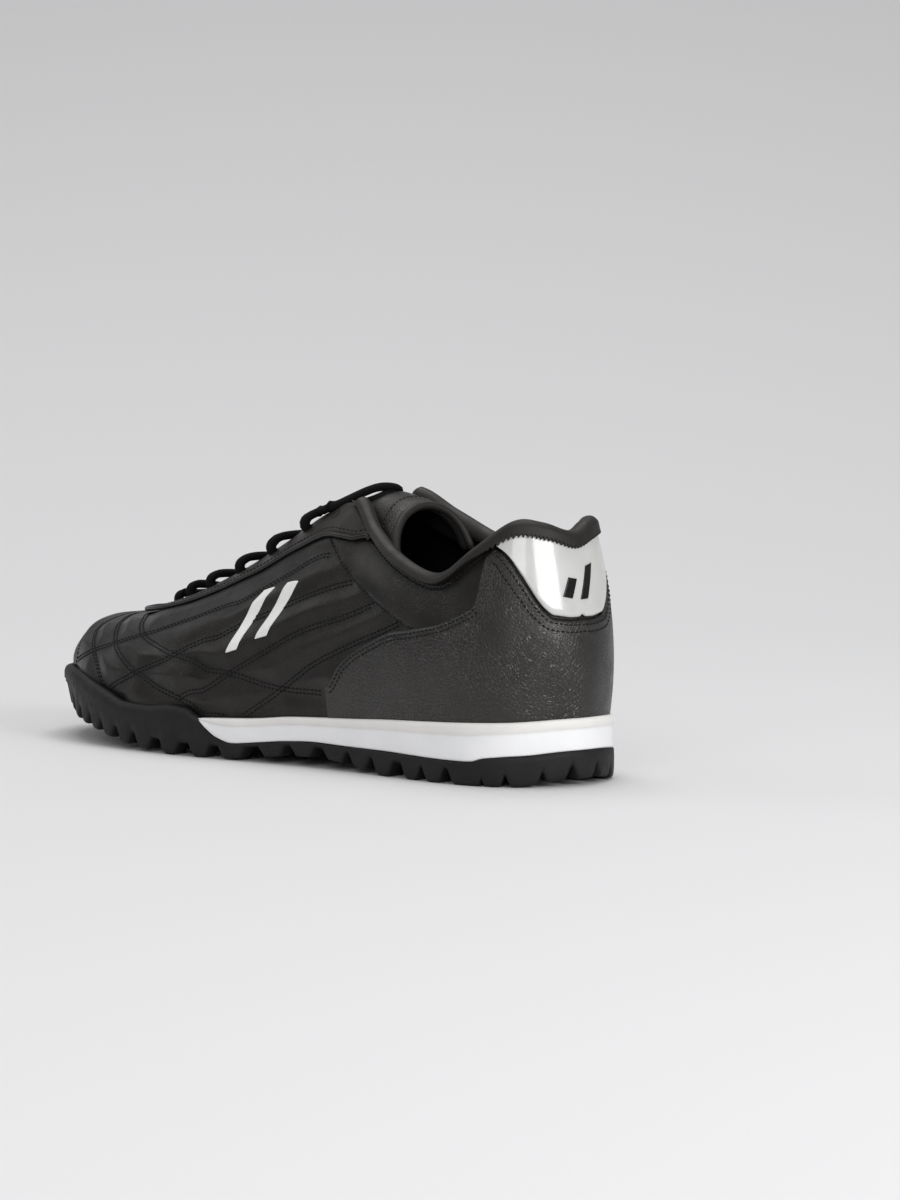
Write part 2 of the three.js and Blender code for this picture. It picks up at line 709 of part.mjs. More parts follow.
function laceBar() {
  const s = eyeletSections[EYELET_COUNT - 1];
  return laceStrip(laceEnd(s), laceEnd(-s), LACE_RISE);
}

// Out of the front eyelets, over the throat and in under the facing before the next ones. The bar fills
// the first eyelets, so the first crossing comes out from under the facing behind them.
function laceCross(step) {
  const front = eyeletSections[EYELET_COUNT - step];
  const back = eyeletSections[EYELET_COUNT - step - 1];
  const rise = step === EYELET_COUNT - 1 ? TOP_LACE_RISE : LACE_RISE;
  return joinAll([1, -1].map((side) => {
    const start = step === 1 ? laceUnder(side * front, -1) : laceEnd(side * front);
    return laceStrip(start, laceUnder(-side * back), rise);
  }));
}

// Colours and surface of each piece

const LOOKS = {
  rubber: { color: 0x1b1b1c, roughness: 0.75, metalness: 0 },
  foam: { color: 0xe8e9ea, roughness: 0.5, metalness: 0 },
  leather: { color: 0x141415, roughness: 0.42, metalness: 0 },
  grain: { color: 0x171718, roughness: 0.5, metalness: 0 },
  patent: { color: 0xf1f1f2, roughness: 0.15, metalness: 0 },
  lining: { color: 0x1d1d1e, roughness: 0.9, metalness: 0 },
  roll: { color: 0x2a2a2b, roughness: 0.6, metalness: 0 },
  lace: { color: 0x0f0f10, roughness: 0.85, metalness: 0 },
};

const shoe = new THREE.Group();

function addPiece(name, look, geometry) {
  const mesh = new THREE.Mesh(geometry, new THREE.MeshStandardMaterial(LOOKS[look]));
  mesh.name = name;
  geometry.computeVertexNormals();
  shoe.add(mesh);
}

addPiece('outsole', 'rubber', makeOutsole());
addPiece('midsole', 'foam', makeMidsole());
addPiece('insole', 'lining', makeInsole());
addPiece('upper', 'leather', makeUpper());
addPiece('eyestay', 'leather', makeEyestay());
addPiece('heel_counter', 'grain', makeCounter());
addPiece('heel_tab', 'patent', makeHeelTab());
addPiece('collar_roll', 'roll', makeCollarRoll());
addPiece('tongue', 'lining', makeTongue());
addPiece('lace_bar', 'lace', laceBar());
range(EYELET_COUNT - 1).forEach((i) => addPiece(`lace_cross_${i + 1}`, 'lace', laceCross(i + 1)));

// The origin is under the middle of the shoe, on the floor
const bounds = new THREE.Box3().setFromObject(shoe);
const middle = bounds.getCenter(new THREE.Vector3());
shoe.position.set(-middle.x, -middle.y, -bounds.min.z);
shoe.updateMatrixWorld(true);

export default shoe;
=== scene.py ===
# %% [markdown]
# # Turf shoe for the left foot
#
# The shoe stands on its studs at z = 0 with its toe towards +X and its outer side towards +Y.
# A real shoe is pulled over a last, a solid form of the foot. Here too every shape is laid on one
# skin, the surface of that last, so that all the pieces follow one another by themselves.

import math

import bmesh
import bpy
import numpy as np
from mathutils import Matrix, Vector
from mathutils.kdtree import KDTree


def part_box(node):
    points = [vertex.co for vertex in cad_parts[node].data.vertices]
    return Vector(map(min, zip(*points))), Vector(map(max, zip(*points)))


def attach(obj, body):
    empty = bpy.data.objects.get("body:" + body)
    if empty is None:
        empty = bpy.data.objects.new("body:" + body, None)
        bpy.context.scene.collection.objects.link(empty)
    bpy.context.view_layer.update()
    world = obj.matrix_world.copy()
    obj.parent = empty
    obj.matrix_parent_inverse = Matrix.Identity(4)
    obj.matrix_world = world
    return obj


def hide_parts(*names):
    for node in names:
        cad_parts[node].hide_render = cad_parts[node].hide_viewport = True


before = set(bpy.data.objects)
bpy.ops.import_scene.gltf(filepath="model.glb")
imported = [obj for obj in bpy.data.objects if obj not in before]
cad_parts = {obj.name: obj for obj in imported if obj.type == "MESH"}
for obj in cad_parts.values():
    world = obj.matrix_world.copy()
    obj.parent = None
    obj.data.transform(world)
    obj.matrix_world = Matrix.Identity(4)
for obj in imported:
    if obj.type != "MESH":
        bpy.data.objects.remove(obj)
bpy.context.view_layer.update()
print("solids:", sorted(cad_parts))

# %% [markdown]
# ## Sizes
#
# A shoemaker names a shoe by its length and its width over the ball, and grades the rest from them.
# Blender's own units could be set to millimetres, but the frame is in metres, so lengths here are
# plain numbers times MM.

# %% Sizes that drive the shoe
MM = 0.001
LENGTH = 282 * MM
BALL_WIDTH = 100 * MM
HEEL_HEIGHT = 92 * MM
INSTEP_HEIGHT = 98 * MM
TOE_HEIGHT = 48 * MM
SOLE_HEIGHT = 24 * MM
print("length and ball width, mm:", round(LENGTH / MM), round(BALL_WIDTH / MM))

# %% Thickness of the leather and how the pieces sit
WALL = 2 * MM
OVERLAY = 1.1 * MM
SEAT = 0.3 * MM
SOLE_LIP = 3.5 * MM
SOLE_TUCK = 4 * MM
GAP = 0.3 * MM
print("wall of the upper, mm:", WALL / MM)

# %% [markdown]
# ## The last
#
# The last is described as a boat builder draws a hull, with one row a section from the heel to the
# toe tip. `at`, `outer` and `inner` place the feather line, where the upper meets the sole, as
# shares of length and ball width. The top edge has the same columns, and its height is a share of
# the size that the row follows. `lean` and `roll` are the degrees that the skin leans out at the
# feather and in at the top; `low` and `high` are how far each angle carries. The form could be
# sculpted as well, but a table is easy to set against a photograph and to change.

# %% Sections of the last
SECTIONS = [
    # follows, at, outer, inner, top at, top outer, top inner, top up, top up inner,
    # lean, roll, low, high
    (HEEL_HEIGHT, 0.000, 0.000, 0.000, 0.031, 0.000, 0.000, 0.918, 0.918, 10, 14, 0.36, 0.34),
    (HEEL_HEIGHT, 0.013, 0.140, 0.140, 0.040, 0.105, 0.103, 0.951, 0.951, 10, 14, 0.36, 0.34),
    (HEEL_HEIGHT, 0.045, 0.258, 0.252, 0.062, 0.190, 0.186, 0.957, 0.962, 9, 15, 0.36, 0.34),
    (HEEL_HEIGHT, 0.098, 0.328, 0.322, 0.108, 0.245, 0.240, 0.859, 0.900, 8, 18, 0.36, 0.34),
    (HEEL_HEIGHT, 0.165, 0.352, 0.338, 0.168, 0.270, 0.262, 0.750, 0.820, 8, 22, 0.38, 0.34),
    (HEEL_HEIGHT, 0.245, 0.356, 0.318, 0.243, 0.258, 0.245, 0.799, 0.860, 9, 30, 0.40, 0.34),
    (INSTEP_HEIGHT, 0.330, 0.364, 0.296, 0.317, 0.205, 0.195, 0.847, 0.905, 12, 36, 0.42, 0.34),
    (INSTEP_HEIGHT, 0.415, 0.388, 0.302, 0.377, 0.145, 0.140, 0.964, 0.990, 13, 42, 0.42, 0.34),
    (INSTEP_HEIGHT, 0.500, 0.434, 0.345, 0.450, 0.098, 0.098, 0.918, 0.925, 12, 46, 0.43, 0.34),
    (INSTEP_HEIGHT, 0.585, 0.477, 0.412, 0.527, 0.088, 0.088, 0.811, 0.811, 11, 50, 0.44, 0.34),
    (INSTEP_HEIGHT, 0.665, 0.500, 0.466, 0.601, 0.080, 0.080, 0.714, 0.714, 10, 56, 0.45, 0.36),
    (INSTEP_HEIGHT, 0.745, 0.495, 0.492, 0.672, 0.072, 0.075, 0.633, 0.633, 9, 62, 0.46, 0.38),
    (INSTEP_HEIGHT, 0.820, 0.455, 0.485, 0.722, 0.063, 0.072, 0.580, 0.580, 8, 68, 0.46, 0.42),
    (TOE_HEIGHT, 0.890, 0.382, 0.432, 0.757, 0.050, 0.066, 1.100, 1.100, 7, 77, 0.45, 0.48),
    (TOE_HEIGHT, 0.948, 0.268, 0.330, 0.779, 0.030, 0.054, 1.055, 1.055, 6, 84, 0.44, 0.54),
    (TOE_HEIGHT, 0.986, 0.115, 0.180, 0.789, 0.006, 0.036, 1.040, 1.040, 6, 87, 0.44, 0.56),
    (TOE_HEIGHT, 1.000, -0.030, 0.030, 0.791, -0.016, 0.016, 1.035, 1.035, 6, 87, 0.44, 0.56),
]
TOE = len(SECTIONS) - 1
ROUND = 2 * TOE
print("sections on each side:", TOE + 1)


# %% A smooth curve through two columns
def table_curve(rows, column):
    """Smooth curve of a column against the first one, which never overshoots between two rows."""
    x, y = np.array([(row[0], row[column]) for row in rows], float).T
    slope = np.diff(y) / np.diff(x)
    tangent = np.zeros(len(x))
    product = slope[:-1] * slope[1:]
    total = np.where(product > 0, slope[:-1] + slope[1:], 1)
    tangent[1:-1] = np.where(product > 0, 2 * product / total, 0)

    def value(at):
        at = np.clip(at, x[0], x[-1])
        i = np.clip(np.searchsorted(x, at, side="right") - 1, 0, len(x) - 2)
        h = x[i + 1] - x[i]
        t = (at - x[i]) / h
        rise = (3 - 2 * t) * t * t
        out = t * (1 - t) ** 2 * h * tangent[i]
        back = t * t * (t - 1) * h * tangent[i + 1]
        return y[i] + (y[i + 1] - y[i]) * rise + out + back

    return value


# %% [markdown]
# ## Heights along the sole
#
# Seen from the side a sole is four lines: its rim, the underside of the white wedge, the underside
# of the black plate and the tips of the studs. A Bezier curve for each would do, but four columns
# over the same stations can't cross where the numbers don't. They are shares of SOLE_HEIGHT.

# %% The four lines of the sole
SOLE_STATIONS = [
    # at, rim, underside of the white wedge, underside of the black plate, tips of the studs
    (0.000, 0.992, 0.525, 0.300, 0.100),
    (0.030, 0.960, 0.470, 0.230, 0.015),
    (0.045, 0.945, 0.455, 0.215, 0.000),
    (0.100, 0.915, 0.392, 0.208, 0.000),
    (0.240, 0.845, 0.383, 0.212, 0.000),
    (0.300, 0.805, 0.383, 0.265, 0.085),
    (0.370, 0.765, 0.396, 0.300, 0.155),
    (0.420, 0.735, 0.367, 0.285, 0.130),
    (0.470, 0.675, 0.308, 0.230, 0.075),
    (0.510, 0.645, 0.267, 0.185, 0.025),
    (0.535, 0.630, 0.338, 0.183, 0.000),
    (0.555, 0.617, 0.479, 0.183, 0.000),
    (0.566, 0.610, 0.575, 0.183, 0.000),
    (0.596, 0.742, 0.575, 0.183, 0.000),
    (0.622, 0.770, 0.575, 0.185, 0.000),
    (0.665, 0.725, 0.575, 0.235, 0.045),
    (0.720, 0.742, 0.575, 0.300, 0.108),
    (0.760, 0.858, 0.575, 0.375, 0.188),
    (0.806, 0.967, 0.575, 0.470, 0.283),
    (0.870, 1.108, 0.575, 0.560, 0.370),
    (0.930, 1.125, 0.575, 0.650, 0.465),
    (1.000, 1.090, 0.575, 0.780, 0.600),
]
WEDGE_TIP = 0.566
SOLE_CURVES = {
    name: table_curve(SOLE_STATIONS, column)
    for column, name in enumerate(("rim", "wedge", "plate", "tip"), 1)
}


def sole_height(name, x):
    return SOLE_CURVES[name](x / LENGTH) * SOLE_HEIGHT


print("stations along the sole:", len(SOLE_STATIONS))

# %% [markdown]
# ## The skin
#
# Anything on the upper is placed by u, the section round the shoe, and v, the share of the way up
# from the feather line to the top edge. A spline through the rows gives each section its values,
# and a Bezier curve stands on each place of the outline. A subdivision surface over a coarse cage
# would be as smooth, but it gives no u and v by which seams and eyelets can find their places.


# %% Rows as lengths, and the closed loop of them
def section_row(row, inner):
    follows, at, outer, inside, top_at, top_outer, top_inside, up, up_inside = row[:9]
    side = -inside if inner else outer
    top_side = -top_inside if inner else top_outer
    return (
        at * LENGTH,
        side * BALL_WIDTH,
        top_at * LENGTH,
        top_side * BALL_WIDTH,
        (up_inside if inner else up) * follows,
        *row[9:],
    )


LOOP = np.array(
    [section_row(row, False) for row in SECTIONS]
    + [section_row(row, True) for row in SECTIONS[-2:0:-1]]
)


def section_at(u):
    """The section values at u, on a periodic spline through the rows."""
    u = np.asarray(u, float) % ROUND
    i = np.floor(u).astype(int)
    f = (u - i)[..., None]
    a, b, c, d = (LOOP[(i + k) % ROUND] for k in (-1, 0, 1, 2))
    square = 2 * a - 5 * b + 4 * c - d
    cubic = -a + 3 * b - 3 * c + d
    return 0.5 * (2 * b + (c - a) * f + square * f**2 + cubic * f**3)


print("rows round the shoe:", len(LOOP))


# %% Outline of the sole from above
PROBE = 0.002


def unit(vectors):
    length = np.linalg.norm(vectors, axis=-1, keepdims=True)
    return vectors / np.maximum(length, 1e-12)


def outline(u, inset=0.0):
    """The outline of the sole seen from above, moved inwards, and its outward direction."""
    u = np.asarray(u, float)
    here = section_at(u)[..., :2]
    travel = section_at(u + PROBE)[..., :2] - section_at(u - PROBE)[..., :2]
    out = unit(np.stack([-travel[..., 1], travel[..., 0]], -1))
    return here - out * np.asarray(inset)[..., None], out


def flat(vectors):
    """The same plan vectors with a height of nought."""
    return np.concatenate([vectors, np.zeros(vectors.shape[:-1] + (1,))], -1)


# %% Points and directions on the skin
def skin_point(u, v):
    u, v = np.broadcast_arrays(np.asarray(u, float), np.asarray(v, float))
    row = section_at(u)
    foot, out = outline(u, SOLE_LIP)
    height = sole_height("rim", foot[..., 0]) - SOLE_TUCK
    bottom = np.concatenate([foot, height[..., None]], -1)
    top = row[..., 2:5]
    reach = np.linalg.norm(top - bottom, axis=-1)
    inward = flat(unit(top[..., :2] - foot))
    lean, roll = np.radians(row[..., 5]), np.radians(row[..., 6])
    up = np.array([0.0, 0.0, 1.0])
    rising = np.cos(lean)[..., None] * up + np.sin(lean)[..., None] * flat(out)
    closing = np.cos(roll)[..., None] * up + np.sin(roll)[..., None] * inward
    a = bottom + (reach * row[..., 7])[..., None] * rising
    b = top - (reach * row[..., 8])[..., None] * closing
    v = v[..., None]
    return (1 - v) ** 3 * bottom + 3 * (1 - v) ** 2 * v * a + 3 * (1 - v) * v**2 * b + v**3 * top


def skin_frame(u, v):
    """Point, outward normal, way up and way along, at u round the shoe and v up the skin."""
    u, v = np.asarray(u, float), np.asarray(v, float)
    along = unit(skin_point(u + PROBE, v) - skin_point(u - PROBE, v))
    up = unit(skin_point(u, np.minimum(v + PROBE, 1)) - skin_point(u, np.maximum(v - PROBE, 0)))
    return skin_point(u, v), unit(np.cross(up, along)), up, along


def skin(u, v, offset=0.0):
    point, normal, _, _ = skin_frame(u, v)
    return point + normal * np.asarray(offset, float)[..., None]


# %% Measuring down from the top edge
def below_top(u, distance):
    """How far up the skin lies the given distance below the top edge."""
    u = np.atleast_1d(np.asarray(u, float))
    distance = np.broadcast_to(distance, u.shape)
    steps = np.linspace(1, 0, 81)
    points = skin_point(u[:, None], steps[None, :])
    walked = np.cumsum(np.linalg.norm(np.diff(points, axis=1), axis=-1), axis=1)
    walked = np.concatenate([np.zeros((len(u), 1)), walked], 1)
    return np.array([np.interp(d, w, steps) for d, w in zip(distance, walked)])


# %% [markdown]
# ## From the design to the frame
#
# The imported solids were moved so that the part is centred, and the skin has to move with them. The
# box of the outsole tells how far, which is safer than a number copied by hand.

# %% The shift
OUTLINE_Y = outline(np.linspace(0, ROUND, 2000))[0][:, 1]
outsole_low, outsole_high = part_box("outsole")
SHIFT = np.array(
    [
        outsole_high.x - LENGTH,
        (outsole_high.y + outsole_low.y) / 2 - (OUTLINE_Y.max() + OUTLINE_Y.min()) / 2,
        0.0,
    ]
)
print("design to row frame, mm:", np.round(SHIFT / MM, 2))

# %% [markdown]
# ## Meshes from surfaces
#
# Leather, cloth and foam come as sheets. Each piece is a grid that bmesh makes and whose corners
# are then moved to the points of a surface, welded where the surface closes on itself. The lengths
# along the grid are kept as UV, so a weave keeps its size. A cloth simulation would need pins at
# every seam; leather on a last is stretched tight, so its form is known beforehand.


# %% A grid bent into a surface
def arc_lengths(points, axis):
    step = np.linalg.norm(np.diff(points, axis=axis), axis=-1).mean(1 - axis)
    return np.concatenate([[0], np.cumsum(step)])


def new_object(name, mesh):
    thing = bpy.data.objects.new(name, mesh)
    bpy.context.scene.collection.objects.link(thing)
    return thing


def closed_up(values, rings):
    """The same grid of values with its first line repeated at the end of each axis that closes."""
    for axis in (0, 1):
        if rings[axis]:
            values = np.concatenate([values, values.take([0], axis)], axis)
    return values


def surface(name, points, rings=(False, False), zone_rows=None):
    """A mesh through points[i, k], with the arc lengths as UV.

    zone_rows gives each line of faces along the second axis its material index.
    """
    points = closed_up(points, rings)
    columns, rows = points.shape[:2]
    work = bmesh.new()
    bmesh.ops.create_grid(work, x_segments=columns - 1, y_segments=rows - 1, size=1)
    mesh = bpy.data.meshes.new(name)
    work.to_mesh(mesh)
    work.free()
    mesh.vertices.foreach_set("co", (points + SHIFT).transpose(1, 0, 2).ravel())
    lengths = np.meshgrid(arc_lengths(points, 0), arc_lengths(points, 1))
    uv = np.stack(lengths, -1).reshape(-1, 2)
    corner = np.empty(len(mesh.loops), np.int32)
    mesh.loops.foreach_get("vertex_index", corner)
    layer = mesh.uv_layers.new(name="length")
    layer.uv.foreach_set("vector", uv[corner].ravel())
    if zone_rows is not None:
        lowest = corner.reshape(-1, 4).min(1) // columns
        mesh.polygons.foreach_set("material_index", np.asarray(zone_rows)[lowest].astype(np.int32))
    work = bmesh.new()
    work.from_mesh(mesh)
    bmesh.ops.remove_doubles(work, verts=work.verts, dist=1e-6)
    edges = [edge for edge in work.edges if edge.is_boundary]
    if edges:
        bmesh.ops.holes_fill(work, edges=edges, sides=0)
    bmesh.ops.recalc_face_normals(work, faces=work.faces)
    work.to_mesh(mesh)
    work.free()
    mesh.shade_smooth()
    return new_object(name, mesh)


# %% Every finished piece takes its materials, rides with the shoe and hides the solids it replaces
def finished(thing, slot, material, *replaced):
    """The piece rides with the shoe, takes its material and stands for the solids named."""
    for one in material if isinstance(material, list) else [material]:
        thing.data.materials.append(one)
    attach(thing, "root")
    if replaced:
        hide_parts(*replaced)
    return thing


# %% Smooth steps and smooth paths
def smooth(x, low, high):
    t = np.clip((x - low) / (high - low), 0, 1)
    return t * t * (3 - 2 * t)


def spline(points, count):
    """Even points along a smooth curve through a short list of points."""
    points = np.asarray(points, float)
    ends = np.concatenate([[2 * points[0] - points[1]], points, [2 * points[-1] - points[-2]]])
    spans = len(ends) - 3
    t = np.linspace(0, spans, count * 6)
    i = np.minimum(t.astype(int), spans - 1)
    f = (t - i)[:, None]
    a, b, c, d = (ends[i + k] for k in range(4))
    square = 2 * a - 5 * b + 4 * c - d
    path = 0.5 * (2 * b + (c - a) * f + square * f**2 + (-a + 3 * b - 3 * c + d) * f**3)
    walked = np.concatenate([[0], np.cumsum(np.linalg.norm(np.diff(path, axis=0), axis=1))])
    even = np.linspace(0, walked[-1], count)
    return np.stack([np.interp(even, walked, path[:, k]) for k in range(path.shape[1])], 1)


# %% Sheets on the skin, and tubes
def overlay(name, us, lower, upper, rows, inside, outside, edge=3):
    """A sheet on the skin with rounded edges, from the lower to the upper edge at each section."""
    us = np.asarray(us, float)
    v = lower[:, None] + (upper - lower)[:, None] * np.linspace(0, 1, rows)[None, :]
    half = (outside - inside) / 2
    rounding = inside + half + half * np.sin(np.linspace(0, np.pi / 2, edge + 1))
    lift = np.full(rows, outside)
    lift[: edge + 1] = rounding
    lift[-edge - 1 :] = rounding[::-1]
    front = skin(us[:, None], v, np.broadcast_to(lift, v.shape))
    back = skin(us[:, None], v[:, ::-1], inside)
    return surface(name, np.concatenate([front, back], 1), (False, True))


def tube(name, path, radius, sides=10, squeeze=1.0, face=None):
    """A round or oval tube along a path; face is the direction of its short side."""
    ahead = unit(np.gradient(path, axis=0))
    face = np.broadcast_to([0.0, 0.0, 1.0] if face is None else face, path.shape)
    face = unit(face - ahead * (face * ahead).sum(1, keepdims=True))
    across = np.cross(ahead, face)
    turn = np.linspace(0, 2 * np.pi, sides, endpoint=False)
    ring = across[:, None] * np.cos(turn)[None, :, None]
    ring = ring + face[:, None] * (np.sin(turn) * squeeze)[None, :, None]
    return surface(name, path[:, None] + ring * radius, (False, True))


# %% [markdown]
# ## Nodes
#
# A material in Blender is a small graph. The helpers add one node with its settings and links, so
# that each material further down reads like a recipe. Colours are written as sRGB hex, as a paint
# program shows them, and made linear, which is what the shader calculates with.


# %% One node, one material
def linear(code):
    """A hex colour as linear values."""
    values = [int(code[i : i + 2], 16) / 255 for i in (1, 3, 5)]
    values = [c / 12.92 if c <= 0.04045 else ((c + 0.055) / 1.055) ** 2.4 for c in values]
    return (*values, 1.0)


def node(tree, kind, settings=None, **links):
    """One node with its settings and its inputs, each a value or another node's output.

    An input is named with _ for each space, or _0, _1 where several share a name.
    """
    made = tree.nodes.new(kind)
    for key, value in (settings or {}).items():
        setattr(made, key, value)
    for key, value in links.items():
        socket = made.inputs[int(key[1:])] if key[0] == "_" else made.inputs[key.replace("_", " ")]
        if isinstance(value, bpy.types.NodeSocket):
            tree.links.new(value, socket)
        else:
            socket.default_value = value
    return made


def material(name, colour, roughness, **settings):
    """A principled material; settings are its other constants by socket name."""
    made = bpy.data.materials.new(name)
    made.use_nodes = True
    shader = made.node_tree.nodes["Principled BSDF"]
    shader.inputs["Base Color"].default_value = linear(colour)
    shader.inputs["Roughness"].default_value = roughness
    for key, value in settings.items():
        shader.inputs[key.replace("_", " ")].default_value = value
    return made, made.node_tree, shader


def object_place(tree):
    return node(tree, "ShaderNodeTexCoord").outputs["Object"]


# %% Noise, ranges, tones and bump
def noise(tree, size, detail=3.0, roughness=0.5):
    """Noise whose features are the given size."""
    place = object_place(tree)
    settings = {"Scale": 1 / size, "Detail": detail, "Roughness": roughness, "Vector": place}
    return node(tree, "ShaderNodeTexNoise", **settings).outputs["Fac"]


def ranged(tree, value, low, high, to_low, to_high):
    ends = {"From_Min": low, "From_Max": high, "To_Min": to_low, "To_Max": to_high}
    return node(tree, "ShaderNodeMapRange", Value=value, **ends).outputs["Result"]


def math_node(tree, operation, a, b):
    return node(tree, "ShaderNodeMath", {"operation": operation}, _0=a, _1=b).outputs["Value"]


def tinted(tree, shader, value, dark, light):
    """Base colour between two tones by a value."""
    mix = node(tree, "ShaderNodeMix", {"data_type": "RGBA"}, Factor=value)
    mix.inputs[6].default_value = linear(dark)
    mix.inputs[7].default_value = linear(light)
    tree.links.new(mix.outputs[2], shader.inputs["Base Color"])


def bump(tree, shader, height, distance, under=None):
    """Bump of the given depth, on top of another bump when under names one."""
    links = {"Height": height, "Distance": distance, "Strength": 1.0}
    if under is not None:
        links["Normal"] = under
    made = node(tree, "ShaderNodeBump", **links)
    tree.links.new(made.outputs["Normal"], shader.inputs["Normal"])
    return made.outputs["Normal"]


# %% [markdown]
# ## Leather
#
# Full-grain leather is covered with small cells between fine grooves, deeper where the hide was
# loose, with soft creases and uneven gloss over them. Scanned maps would show it too, but they
# repeat and have to be unwrapped; Voronoi cells and noise in object space have no seams. The warm
# tint is that of the finish, which shows in the reflections and not in the black.

# %% The leather recipe
WARM = "#FFFAF6"
GROOVE_SHARE = 0.16
LOOSE_PATCHES = 18 * MM
CREASES = 7 * MM
TONES = 9 * MM
GLOSS_PATCHES = 5 * MM


def leather(name, dark, light, roughness, grain, depth, crease_depth, specular):
    """Leather: cells of grain between fine grooves, soft creases and uneven gloss."""
    made, tree, shader = material(
        name, dark, roughness, Specular_Tint=linear(WARM), Specular_IOR_Level=specular
    )
    warp = noise(tree, 6 * grain, 2)
    cells = node(
        tree,
        "ShaderNodeTexVoronoi",
        {"feature": "DISTANCE_TO_EDGE"},
        Vector=object_place(tree),
        Scale=1 / grain,
    ).outputs["Distance"]
    groove = ranged(tree, cells, 0.0, GROOVE_SHARE, 0.0, 1.0)
    patch = ranged(tree, noise(tree, LOOSE_PATCHES, 2), 0.35, 0.65, 0.25, 1.0)
    height = math_node(tree, "MULTIPLY", groove, patch)
    height = math_node(tree, "ADD", height, math_node(tree, "MULTIPLY", warp, 0.8))
    first = bump(tree, shader, height, depth)
    bump(tree, shader, noise(tree, CREASES, 4, 0.55), crease_depth, first)
    tone = ranged(tree, noise(tree, TONES, 4), 0.3, 0.7, 0.0, 1.0)
    tinted(tree, shader, tone, dark, light)
    gloss = noise(tree, GLOSS_PATCHES, 3)
    gloss = ranged(tree, gloss, 0.3, 0.7, roughness - 0.05, roughness + 0.07)
    tree.links.new(gloss, shader.inputs["Roughness"])
    return made


# %% The leathers of the shoe
LEATHERS = [
    # name, dark, light, roughness; size of grain, its depth, depth of creases in mm; specular
    ("smooth leather", "#0B0A09", "#151311", 0.36, 1.0, 0.07, 0.09, 0.40),
    ("facing leather", "#14110E", "#201B17", 0.42, 0.9, 0.025, 0.04, 0.40),
    ("pebbled leather", "#0F0E0E", "#1A1918", 0.35, 1.3, 0.16, 0.18, 0.70),
    ("collar leather", "#1A1918", "#242221", 0.52, 0.8, 0.010, 0.03, 0.35),
    ("edge leather", "#0A0A0A", "#101010", 0.32, 0.8, 0.010, 0.02, 0.50),
]
smooth_leather, facing_leather, pebbled_leather, roll_leather, edge_leather = (
    leather(*row[:4], *(length * MM for length in row[4:7]), row[7]) for row in LEATHERS
)
print("leathers:", [row[0] for row in LEATHERS])

# %% [markdown]
# ## Cloth
#
# The lining and the laces are woven. Real threads would be hundreds of thousands of faces, so two
# waves that cross along the piece's own lengths stand for them as bump and as tone.

# %% The weave
THREAD_TURN = 0.785
WAVE_LENGTH = 0.314


def cloth(name, dark, light, pitch, depth, roughness=0.9):
    """Woven cloth: two crossing waves along the piece's own lengths."""
    made, tree, shader = material(name, dark, roughness, Specular_IOR_Level=0.2)
    place = node(tree, "ShaderNodeUVMap", {"uv_map": "length"}).outputs["UV"]
    waves = []
    for turn in (THREAD_TURN, -THREAD_TURN):
        turned = node(tree, "ShaderNodeMapping", Vector=place, Rotation=(0, 0, turn))
        vector = turned.outputs["Vector"]
        wave = node(tree, "ShaderNodeTexWave", Vector=vector, Scale=WAVE_LENGTH / pitch)
        waves.append(wave.outputs["Fac"])
    height = math_node(tree, "MULTIPLY", *waves)
    bump(tree, shader, height, depth)
    tinted(tree, shader, height, dark, light)
    return made


lining_cloth = cloth("lining cloth", "#0B0B0B", "#171615", 0.9 * MM, 0.12 * MM)
lace_cloth = cloth("lace cloth", "#050505", "#101010", 0.8 * MM, 0.10 * MM)
print("cloths:", lining_cloth.name, "and", lace_cloth.name)

# %% [markdown]
# ## Rubber, foam, thread and print
#
# What comes out of a mould is even, with faint mottling and a fine matt texture. One recipe with
# another size, depth and roughness gives each of them, and a clear coat makes the patent leather.

# %% The moulded recipe
MOTTLING = 12 * MM
SHEEN_PATCHES = 3 * MM


def moulded(name, dark, light, roughness, size, depth, **settings):
    """Moulded rubber or foam: faint mottling and a fine matt texture."""
    made, tree, shader = material(name, dark, roughness, **settings)
    bump(tree, shader, noise(tree, size, 3, 0.6), depth)
    tone = ranged(tree, noise(tree, MOTTLING, 3), 0.35, 0.65, 0.0, 1.0)
    tinted(tree, shader, tone, dark, light)
    sheen = noise(tree, SHEEN_PATCHES, 2)
    sheen = ranged(tree, sheen, 0.3, 0.7, roughness - 0.06, roughness + 0.06)
    tree.links.new(sheen, shader.inputs["Roughness"])
    return made


# %% What is moulded or printed
GLOSSY_COAT = {"Coat_Weight": 0.7, "Coat_Roughness": 0.08}
DULL = {"Specular_IOR_Level": 0.3}
MOULDINGS = [
    # name, dark, light, roughness, size of the texture and its depth in mm, other constants
    ("white patent leather", "#C9C9C7", "#D1D1CF", 0.20, 6, 0.03, GLOSSY_COAT),
    ("black thread", "#030303", "#070707", 0.60, 0.3, 0.03, DULL),
    ("black rubber", "#151515", "#1C1C1C", 0.60, 0.5, 0.02, DULL),
    ("white sole", "#F4F5F6", "#FAFAFB", 0.42, 0.8, 0.012, {}),
    ("white sole lip", "#EBE9E6", "#F1EFEC", 0.50, 0.6, 0.03, {}),
    ("white print", "#EFF0EC", "#F6F6F3", 0.45, 0.7, 0.01, {}),
    ("black gloss print", "#0A0A0B", "#101012", 0.16, 3, 0.01, {}),
    # the eyelet hole's black is partly the lace seen through it and partly painted shade of the hole
    ("eyelet hole lace and painted shade", "#020202", "#030303", 0.90, 1, 0.01, {}),
]
patent, thread, rubber, foam, foam_lip, print_white, print_black, hole_lace_and_painted_shade = (
    moulded(*row[:4], row[4] * MM, row[5] * MM, **row[6]) for row in MOULDINGS
)
print("mouldings and prints:", [row[0] for row in MOULDINGS])

